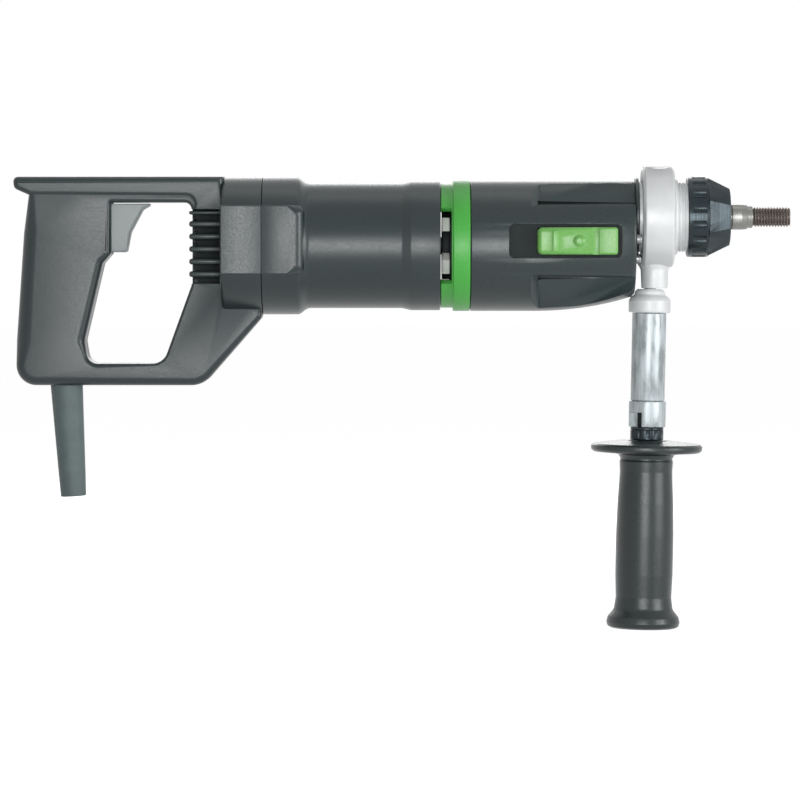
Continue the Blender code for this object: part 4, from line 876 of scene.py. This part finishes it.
def gear_housing():
    housing = loft("gear_housing_fine", case_stations())
    upper = pocket("upper_pocket", POCKET_TOP_Z, 1)
    lower = pocket("lower_pocket", POCKET_BOTTOM_Z, -1)
    rear, front, bottom, top = RECESS
    recess = slab("selector_recess", [rounded([
        (rear, bottom, 4.5), (front, bottom, 4.5), (front, top, 4.5), (rear, top, 4.5)], 8)],
        40, "XZ", (0, RECESS_FLOOR_Y - 20, 0))
    faces = [slab(f"side_face_{side}", [[
        (-206, side * 47.3), (-184, side * SIDE_FACE_Y), (-100, side * SIDE_FACE_Y),
        (-100, side * 70), (-206, side * 70)]], 60, "XY", (0, 0, MOTOR_Z + 3)) for side in (-1, 1)]
    carve(housing, cut=[upper, lower, *faces], bevel=1.1, segments=3, angle=40)
    inside = loft("gear_space", [
        circle_x(CASE_LOW.x - 5, MOTOR_Z, FLANGE_R - 3.5, 64), circle_x(-206.6, MOTOR_Z, 42, 64),
        circle_x(-205.8, MOTOR_Z, 35, 64), circle_x(-196.0, MOTOR_Z, 35, 64),
        circle_x(POCKET_REAR_X - 4, POCKET_AXIS_Z, 34.5, 64),
        circle_x(-121, POCKET_AXIS_Z, 33.1, 64)])
    gear_space = rod("spindle_gear_space", 17.5, -196.8, -121, "X", (0, 0), 64)
    slot = fork_slot()
    way = rod("spindle_way", 12.5, -130, 0, "X", (0, 0), 64)
    screws = [rod(f"front_screw_way_{n}", 2.1, -119.5, 0, "X", centre, 24)
              for n, centre in enumerate(front_screw_places())]
    carve(housing, cut=[inside, gear_space, recess, slot, way, *screws])
    round_edges(housing, 0.35, 2, 55)
    soften(housing.data)
    return fit(housing, "gearcase_alloy", "machine", "gear_housing")


def recess_shade_sheet():
    """A thin dark sheet on the recess' floor, as painted shade for the sunken floor; the slide runs
    over it.
    """
    rear, front, bottom, top = RECESS
    inset, thickness = 0.4, 0.22
    shade_plate = slab("recess_shade_sheet_fine", [rounded([
        (rear + inset, bottom + inset, 4.1), (front - inset, bottom + inset, 4.1),
        (front - inset, top - inset, 4.1), (rear + inset, top - inset, 4.1)], 8)], thickness, "XZ",
        (0, RECESS_FLOOR_Y - thickness / 2 + 0.02, 0))
    carve(shade_plate, cut=[fork_slot()])
    return fit(shade_plate, "black_plastic", "machine", slot="gearcase_alloy")


def front_screw_places():
    places = []
    for number in range(1, 5):
        low, high = edges_mm(f"front_screw_{number}")
        places.append(((low.y + high.y) / 2, (low.z + high.z) / 2))
    return places


def hex_socket(name, across, start, end, axis, centre):
    return rod(name, across / math.sqrt(3), start, end, axis, centre, 6)


def front_screw(number, centre):
    node = f"front_screw_{number}"
    low, high = edges_mm(node)
    screw = turned(f"{node}_fine", [
        (high.x, 0, 0), (high.x, 3.3, 0.9), (CASE_HIGH.x + 0.3, 3.6, 0.2),
        (CASE_HIGH.x + 0.3, 1.8, 0), (low.x, 1.8, 0.4), (low.x, 0, 0)], "X", centre, 40)
    carve(screw, cut=[hex_socket("socket", 3.0, high.x - 2.2, high.x + 1, "X", centre)])
    return fit(screw, "screw_steel", "machine", node)


def handle_screw(number):
    node = f"handle_screw_{number}"
    low, high = edges_mm(node)
    centre = ((low.x + high.x) / 2, (low.z + high.z) / 2)
    head = (high.x - low.x) / 2
    shank = 1.8 if head > 3 else 1.2
    screw = turned(f"{node}_fine", [
        (high.y, 0, 0), (high.y, head, 0.7), (high.y - 2.8, head, 0.2), (high.y - 2.8, shank, 0),
        (low.y + 1, shank, 0), (low.y, shank * 0.6, 0), (low.y, 0, 0)], "Y", centre, 40)
    cross = [block("slot_a", (centre[0] - 0.35 * across, high.y - 1.6, centre[1] - 0.35 / across),
                   (centre[0] + 0.35 * across, high.y + 1, centre[1] + 0.35 / across))
             for across in (6.0, 1 / 6.0)]
    carve(screw, cut=cross, bevel=0.08, angle=50)
    return fit(screw, "screw_steel", "machine", node)


def selector_slide():
    low, high = edges_mm("selector_slide")
    face_y = -FLANGE_R - 1.4
    middle = (low.z + high.z) / 2
    outline = rounded([
        (low.x, low.z, 3.6, 3.4), (high.x, low.z, 2.2, 1.4), (high.x, high.z, 2.2, 1.4),
        (low.x, high.z, 3.6, 3.4)], 8)
    slide = moulded("selector_slide_fine", [outline], -face_y, -1)
    back = block("slide_back", (-300, high.y, -100), (0, 50, 100))
    band = block("slide_band", (low.x + 10.6, face_y - 0.8, middle - 7.4),
                 (low.x + 14.6, face_y + 2, middle + 7.4), 0.7)
    dome = turned("slide_dome", [
        (low.y, 0, 0), (low.y + 0.2, 2.2, 1.2), (face_y, 4.4, 0.4), (face_y + 2, 4.4, 0),
        (face_y + 2, 0, 0)], "Y", (high.x - 26.7, middle), 48)
    groove = block("slide_groove", (high.x - 17.2, face_y - 1, middle - 20),
                   (high.x - 13.0, face_y + 1.3, middle + 20), 0.5)
    carve(slide, join=[band, dome], cut=[back, groove], bevel=0.25, angle=40)
    return fit(slide, "lime_plastic", "selector", "selector_slide")


# ---------------------------------------------------------------- spindle end

THREAD_PITCH = 2.0
THREAD_DEPTH = 1.15
RING_LOW, RING_HIGH = edges_mm("percussion_ring")
COLLAR_LOW, COLLAR_HIGH = edges_mm("collar_ring")
COLLAR_R = COLLAR_HIGH.z
NECK_LOW, NECK_HIGH = edges_mm("neck")
NECK_R = 24.3


def threaded(name, start, end, radius, steps=72):
    """A right-handed thread along X whose crests fade out at both ends."""
    across = 10
    turns = (end - start) / THREAD_PITCH
    rings = []
    count = int(turns * across)
    for row in range(count + 1):
        along = start + (end - start) * row / count
        fade = min(1.0, (along - start) / 1.6, (end - along) / 1.6)
        ring = []
        for step in range(steps):
            angle = math.tau * step / steps
            phase = ((along - start) / THREAD_PITCH - step / steps) % 1.0
            height = min(1.0, max(0.0, abs(phase - 0.5) * 2.6 - 0.15))
            crest = radius - 0.9 * (1 - max(0.0, fade))
            depth = THREAD_DEPTH * height * max(0.0, min(1.0, fade * 1.6))
            ring.append((along * MM, (crest - depth) * math.cos(angle) * MM,
                         (crest - depth) * math.sin(angle) * MM))
        rings.append(ring)
    return loft(name, rings)


def spindle():
    low, high = edges_mm("spindle")
    thread = threaded("spindle_thread", -26.4, high.x, 7.0)
    fit(thread, "thread_steel", "spindle", slot="steel")
    shaft = turned("spindle_fine", [
        (-26.2, 0, 0), (-26.2, 7.7, 0.6), (-29.6, 7.7, 0.3), (-30.3, 8.5, 0.2), (-33.6, 8.85, 0.3),
        (-40.5, 8.85, 0.3), (-40.9, 8.2, 0.2), (-41.7, 8.2, 0.2), (-41.9, 8.85, 0.2),
        (-45.2, 8.85, 0), (-45.2, 10.0, 0.5), (-130, 10.0, 0.5), (-130, 9.0, 0), (-195.8, 9.0, 0.4),
        (-195.8, 6.0, 0), (low.x, 6.0, 0.5), (low.x, 0, 0)])
    flats = []
    for side in (-1, 1):
        near, far = across_y(side, 7.9, 20)
        flats.append(block(f"spindle_flat_{side}", (-39.5, near, -20), (-33.9, far, 20)))
    carve(shaft, cut=flats, bevel=0.15, angle=40)
    return fit(shaft, "steel", "spindle", "spindle")


def percussion_ring():
    """A dark fluted ring that narrows to the front in eight polished flats."""
    rear, front = RING_LOW.x, RING_HIGH.x
    cone_x, outer, nose = -57.0, 27.9, 20.0
    band = turned("percussion_ring_fine", [
        (cone_x, 0, 0), (cone_x, outer - 0.4, 0.8), (cone_x - 1.6, outer, 0.6), (rear, outer, 0.9),
        (rear, 0, 0)], "X", (0, 0), 128)
    flats = 8
    cone = rod("ring_cone", 1.04 * outer, cone_x - 0.6, front - 0.5, "X", (0, 0), flats,
               end_radius=1.06 * nose)
    cone.data.transform(Matrix.Rotation(math.pi / flats, 4, "X"))
    cap = turned("ring_cap", [
        (front, 0, 0), (front, nose - 0.6, 0.5), (front - 1.8, nose + 0.2, 0.3),
        (front - 1.8, 0, 0)])
    flutes = rods_around("ring_flute", 16, 30.1, 3.6, rear + 3.2, cone_x - 2.6)
    carve(band, join=[cone, cap])
    bore = turned("ring_bore", [
        (rear - 2, 0, 0), (rear - 2, 24.7, 0), (-68.6, 24.7, 0), (-68.6, 20.4, 0), (-48, 20.4, 0),
        (-48, 12.0, 0), (front + 2, 12.0, 0), (front + 2, 0, 0)])
    carve(band, cut=[bore, *flutes], bevel=0.45, segments=3, angle=22)
    return fit(band, "dark_steel", "percussion_ring", "percussion_ring")


def neck():
    """The pale nose of the housing, with fine turned grooves in front of the collar; its rear
    flange is dark as painted shade.
    """
    rear, front = NECK_LOW.x, NECK_HIGH.x
    # The flange takes the dark housing finish as painted shade in the gap before the collar.
    flange = turned("neck_flange_shade_fine", [
        (rear, 27.5, 0.6), (rear + 2.4, 27.5, 0.6), (rear + 2.4, NECK_R + 0.1, 0),
        (rear, NECK_R + 0.1, 0)])
    fit(flange, "gearcase_alloy", "machine")
    corners = [(rear, NECK_R, 0.3)]
    for number in range(4):
        at = -80.4 + 2.1 * number
        corners += [(at, NECK_R, 0.15), (at + 0.25, NECK_R - 0.7, 0.1),
                    (at + 0.75, NECK_R - 0.7, 0.1), (at + 1.0, NECK_R, 0.15)]
    corners += [(-69.0, NECK_R, 0.4), (-69.0, 20.0, 0), (front, 20.0, 0.4), (front, 16.0, 0),
                (-75.0, 16.0, 0), (-75.0, 14.0, 0), (-87.9, 14.0, 0), (-87.9, 20.0, 0),
                (rear, 20.0, 0)]
    body = turned("neck_fine", corners, "X", (0, 0), 128)
    return fit(body, "cast_alloy", "machine", "neck")


# ---------------------------------------------------------------- side handle

RAKE = math.radians(1.1)
HANDLE_X, HANDLE_TOP_Z = -97.6, -50.0
BOSS_X = -94.5


def on_handle_axis(obj):
    """Turns a shape made around the world's Z axis onto the handle's raked axis."""
    pivot = Matrix.Translation((HANDLE_X * MM, 0, HANDLE_TOP_Z * MM))
    down = Matrix.Translation((0, 0, -HANDLE_TOP_Z * MM))
    obj.data.transform(pivot @ Matrix.Rotation(RAKE, 4, "Y") @ down)
    return obj


def collar_ring():
    rear, front = COLLAR_LOW.x, -81.2
    collar = turned("collar_ring_fine", [
        (front + 2.6, 24.6, 0), (front + 2.6, 25.3, 0.3), (front + 1.6, 26.4, 0.5),
        (front, 26.4, 0.4), (front, COLLAR_R - 2.4, 0.3), (front - 0.5, COLLAR_R - 1.6, 0.4),
        (front - 1.4, COLLAR_R, 0.8), (rear + 1.8, COLLAR_R, 1.2), (rear, COLLAR_R - 2.2, 0.8),
        (rear, 24.6, 0.4)], "X", (0, 0), 160)
    boss = turned("collar_boss", [
        (-30, 0, 0), (-30, 13.5, 0), (-36.5, 9.6, 5), (HANDLE_TOP_Z + 0.3, 9.1, 0.6),
        (HANDLE_TOP_Z + 0.3, 0, 0)], "Z", (BOSS_X, 0), 96)
    cap = turned("collar_cap", [
        (COLLAR_R - 6, 0, 0), (COLLAR_R - 6, 10.2, 0), (COLLAR_R - 0.05, 10.2, 0.5),
        (COLLAR_R - 0.05, 0, 0)], "Z", ((rear + front) / 2, 0), 64)
    carve(collar, join=[boss, cap])
    bore = rod("collar_bore", 24.6, -140, 0, "X", (0, 0), 128)
    rod_way = on_handle_axis(rod("rod_way", 4.5, -70, -29, "Z", (0, 0), 40))
    carve(collar, cut=[bore, rod_way], bevel=0.5, segments=3, angle=35)
    return fit(collar, "cast_alloy", "collar", "collar_ring")


def raked(name, node, corners, finish, steps=96, cuts=(), bevel=0.0, slot=None):
    """A piece turned about the side handle's axis."""
    piece = turned(name, corners, "Z", (0, 0), steps)
    if cuts:
        carve(piece, cut=cuts, bevel=bevel, angle=40)
    on_handle_axis(piece)
    return fit(piece, finish, "side_grip", node, slot=slot)


def side_handle():
    top = HANDLE_TOP_Z - 0.3
    raked("collar_nut_fine", "collar_nut", [
        (top, 4.5, 0), (top, 8.6, 0.6), (top - 1.5, 10.2, 0.8), (top - 3.8, 10.7, 1.0),
        (top - 5.8, 13.3, 1.6), (top - 8.0, 14.6, 2.2), (-66.8, 14.6, 1.2), (-66.8, 4.5, 0)],
        "cast_alloy")
    raked("handle_tube_fine", "handle_tube", [
        (-67.1, 7.5, 0), (-67.1, 11.9, 0.5), (-128.2, 11.9, 0.4), (-128.2, 7.5, 0)],
        "tube_alloy", 128)
    # A black bush inside the slotted sleeve, as painted shade at the floor of its notch.
    raked("sleeve_bush_shade_fine", "slotted_sleeve", [
        (-131.0, 4.6, 0), (-131.0, 7.3, 0.3), (-146.5, 7.3, 0.3), (-146.5, 4.6, 0)],
        "black_plastic", 64, slot="shell_plastic")
    notches = [block("sleeve_notch", (-13.6, -20, -148.0), (-4.4, -3, -136.5), 0.4),
               block("sleeve_slit", (-0.6, 0, -148.0), (0.6, 20, -131.0))]
    raked("slotted_sleeve_fine", "slotted_sleeve", [
        (-128.5, 7.5, 0), (-128.5, 12.9, 0.8), (-146.6, 12.9, 0.5), (-146.6, 7.5, 0)],
        "tube_alloy", 96, notches, 0.3)
    facets = rods_around("ferrule_facet", 12, 12.6, 1.9, -154.2, -149.0, "Z", sides=24, first=0)
    raked("handle_ferrule_fine", "handle_ferrule", [
        (-146.9, 4.4, 0), (-146.9, 11.6, 0.6), (-148.3, 11.6, 0.2), (-148.6, 11.0, 0.2),
        (-148.9, 11.6, 0.2), (-155.6, 11.6, 0.5), (-155.6, 4.4, 0)],
        "dark_steel", 96, facets, 0.2)
    guard = -155.9
    raked("handle_grip_fine", "handle_grip", [
        (guard, 4.4, 0), (guard, 14.0, 0.3), (guard - 0.5, 14.6, 0.3), (guard - 0.5, 20.0, 2),
        (guard - 2.6, 37.2, 2), (guard - 4.0, 38.85, 1.2), (-162.7, 38.85, 1.4),
        (-164.3, 36.9, 1.5), (-165.4, 22.5, 2.0), (-166.2, 19.6, 0.8), (-168.6, 18.2, 0.8),
        (-169.6, 18.2, 0.6), (-171.0, 18.7, 1.2), (-178, 18.3, 8), (-200, 19.5, 20),
        (-223, 20.1, 20), (-250, 20.1, 20), (-266, 19.5, 10), (-274.5, 20.6, 6),
        (-279.5, 24.8, 2.5), (-283.5, 25.8, 1.8), (-286.3, 24.9, 1.5), (-287.5, 22.5, 1.0),
        (-287.5, 8.0, 0.8), (-281.0, 7.0, 0), (-215, 7.0, 0),
        (-215, 4.4, 0)], "grip_plastic", 160, slot="shell_plastic")


# ---------------------------------------------------------------- stage

# Here lengths are in metres, and lights in watts.
CAMERA_DISTANCE = 3.2
CAMERA_Z = -0.020
CAMERA_SHIFT_X = 0.0017
VIEW_HEIGHT_Z = -0.1279
FIELD_OF_VIEW = math.radians(9.99)
MIDDLE_X = -0.27
WORLD_LIGHT = 0.06
FLOOR_HALF_SIDE, FLOOR_GAP, FLOOR_GLOW = 12.0, 0.0002, 0.94


def is_seen(tree):
    """1 for camera, glossy and transmission rays, 0 for those that light the object."""
    path = wired(tree, "ShaderNodeLightPath").outputs
    seen = summed(tree, path["Is Camera Ray"], path["Is Glossy Ray"])
    return summed(tree, seen, path["Is Transmission Ray"])


def world():
    made = bpy.data.worlds.new("studio")
    made.use_nodes = True
    tree = made.node_tree
    background = tree.nodes["Background"]
    background.inputs["Color"].default_value = (1, 1, 1, 1)
    strength = span(tree, is_seen(tree), WORLD_LIGHT, 1.0, 0, 1)
    tree.links.new(strength, background.inputs["Strength"])
    bpy.context.scene.world = made


def floor():
    """A pale sheet under the object, which keeps its soft shadow."""
    built = bmesh.new()
    bmesh.ops.create_grid(built, x_segments=1, y_segments=1, size=FLOOR_HALF_SIDE)
    mesh = mesh_of("floor", built)
    sheet = put("floor", mesh)
    sheet.location = (MIDDLE_X, 0, CAD_BOX[0][2] - FLOOR_GAP)
    made, tree, shader = new_finish("pale_floor", (0.8, 0.8, 0.8), 0.9)
    shader.inputs["Specular IOR Level"].default_value = 0.0
    paper = ramp(tree, noise(tree, 3, 4), [(0.3, (0.8, 0.8, 0.8)), (0.7, (0.83, 0.83, 0.83))])
    tree.links.new(paper, shader.inputs["Base Color"])
    shader.inputs["Emission Color"].default_value = (1, 1, 1, 1)
    glow = wired(tree, "ShaderNodeMath", {0: is_seen(tree), 1: FLOOR_GLOW}, operation="MULTIPLY")
    tree.links.new(glow.outputs[0], shader.inputs["Emission Strength"])
    mesh.materials.append(made)


def softbox(name, place, target, width, height, watts):
    data = bpy.data.lights.new(name, "AREA")
    data.shape = "RECTANGLE"
    data.size = width
    data.size_y = height
    data.energy = watts
    lamp = put(name, data)
    lamp.location = place
    lamp.rotation_euler = (Vector(target) - Vector(place)).to_track_quat("-Z", "Y").to_euler()


def camera():
    data = bpy.data.cameras.new("camera")
    data.angle = FIELD_OF_VIEW
    made = put("camera", data)
    middle_x = (CAD_BOX[0][0] + CAD_BOX[1][0]) / 2 - CAMERA_SHIFT_X
    made.location = (middle_x, -CAMERA_DISTANCE, CAMERA_Z)
    aim = Vector((middle_x, 0, VIEW_HEIGHT_Z)) - made.location
    made.rotation_euler = aim.to_track_quat("-Z", "Y").to_euler()
    data.clip_start = 0.05
    bpy.context.scene.camera = made


def stage():
    world()
    floor()
    middle = (MIDDLE_X, 0, -0.06)
    softbox("key", (-0.22, -1.8, -0.03), middle, 0.8, 0.6, 15)
    softbox("side", (1.25, -0.9, 0.1), middle, 0.9, 0.6, 13)
    softbox("top", (-0.2, 0.25, 1.5), middle, 1.2, 0.5, 1.5)
    softbox("back", (-0.3, 1.9, 0.6), middle, 1.2, 0.8, 8)
    camera()
    bpy.context.scene.view_settings.view_transform = "Standard"


def main():
    finish_frame()
    handle_shell("handle_shell_left", -1)
    handle_shell("handle_shell_right", 1)
    trigger()
    cord_sleeve()
    motor_housing()
    bearing_flange()
    cooling_fan()
    gear_housing()
    recess_shade_sheet()
    for number, centre in enumerate(front_screw_places(), 1):
        front_screw(number, centre)
    for number in range(1, 5):
        handle_screw(number)
    selector_slide()
    spindle()
    percussion_ring()
    neck()
    collar_ring()
    side_handle()
    stage()


main()
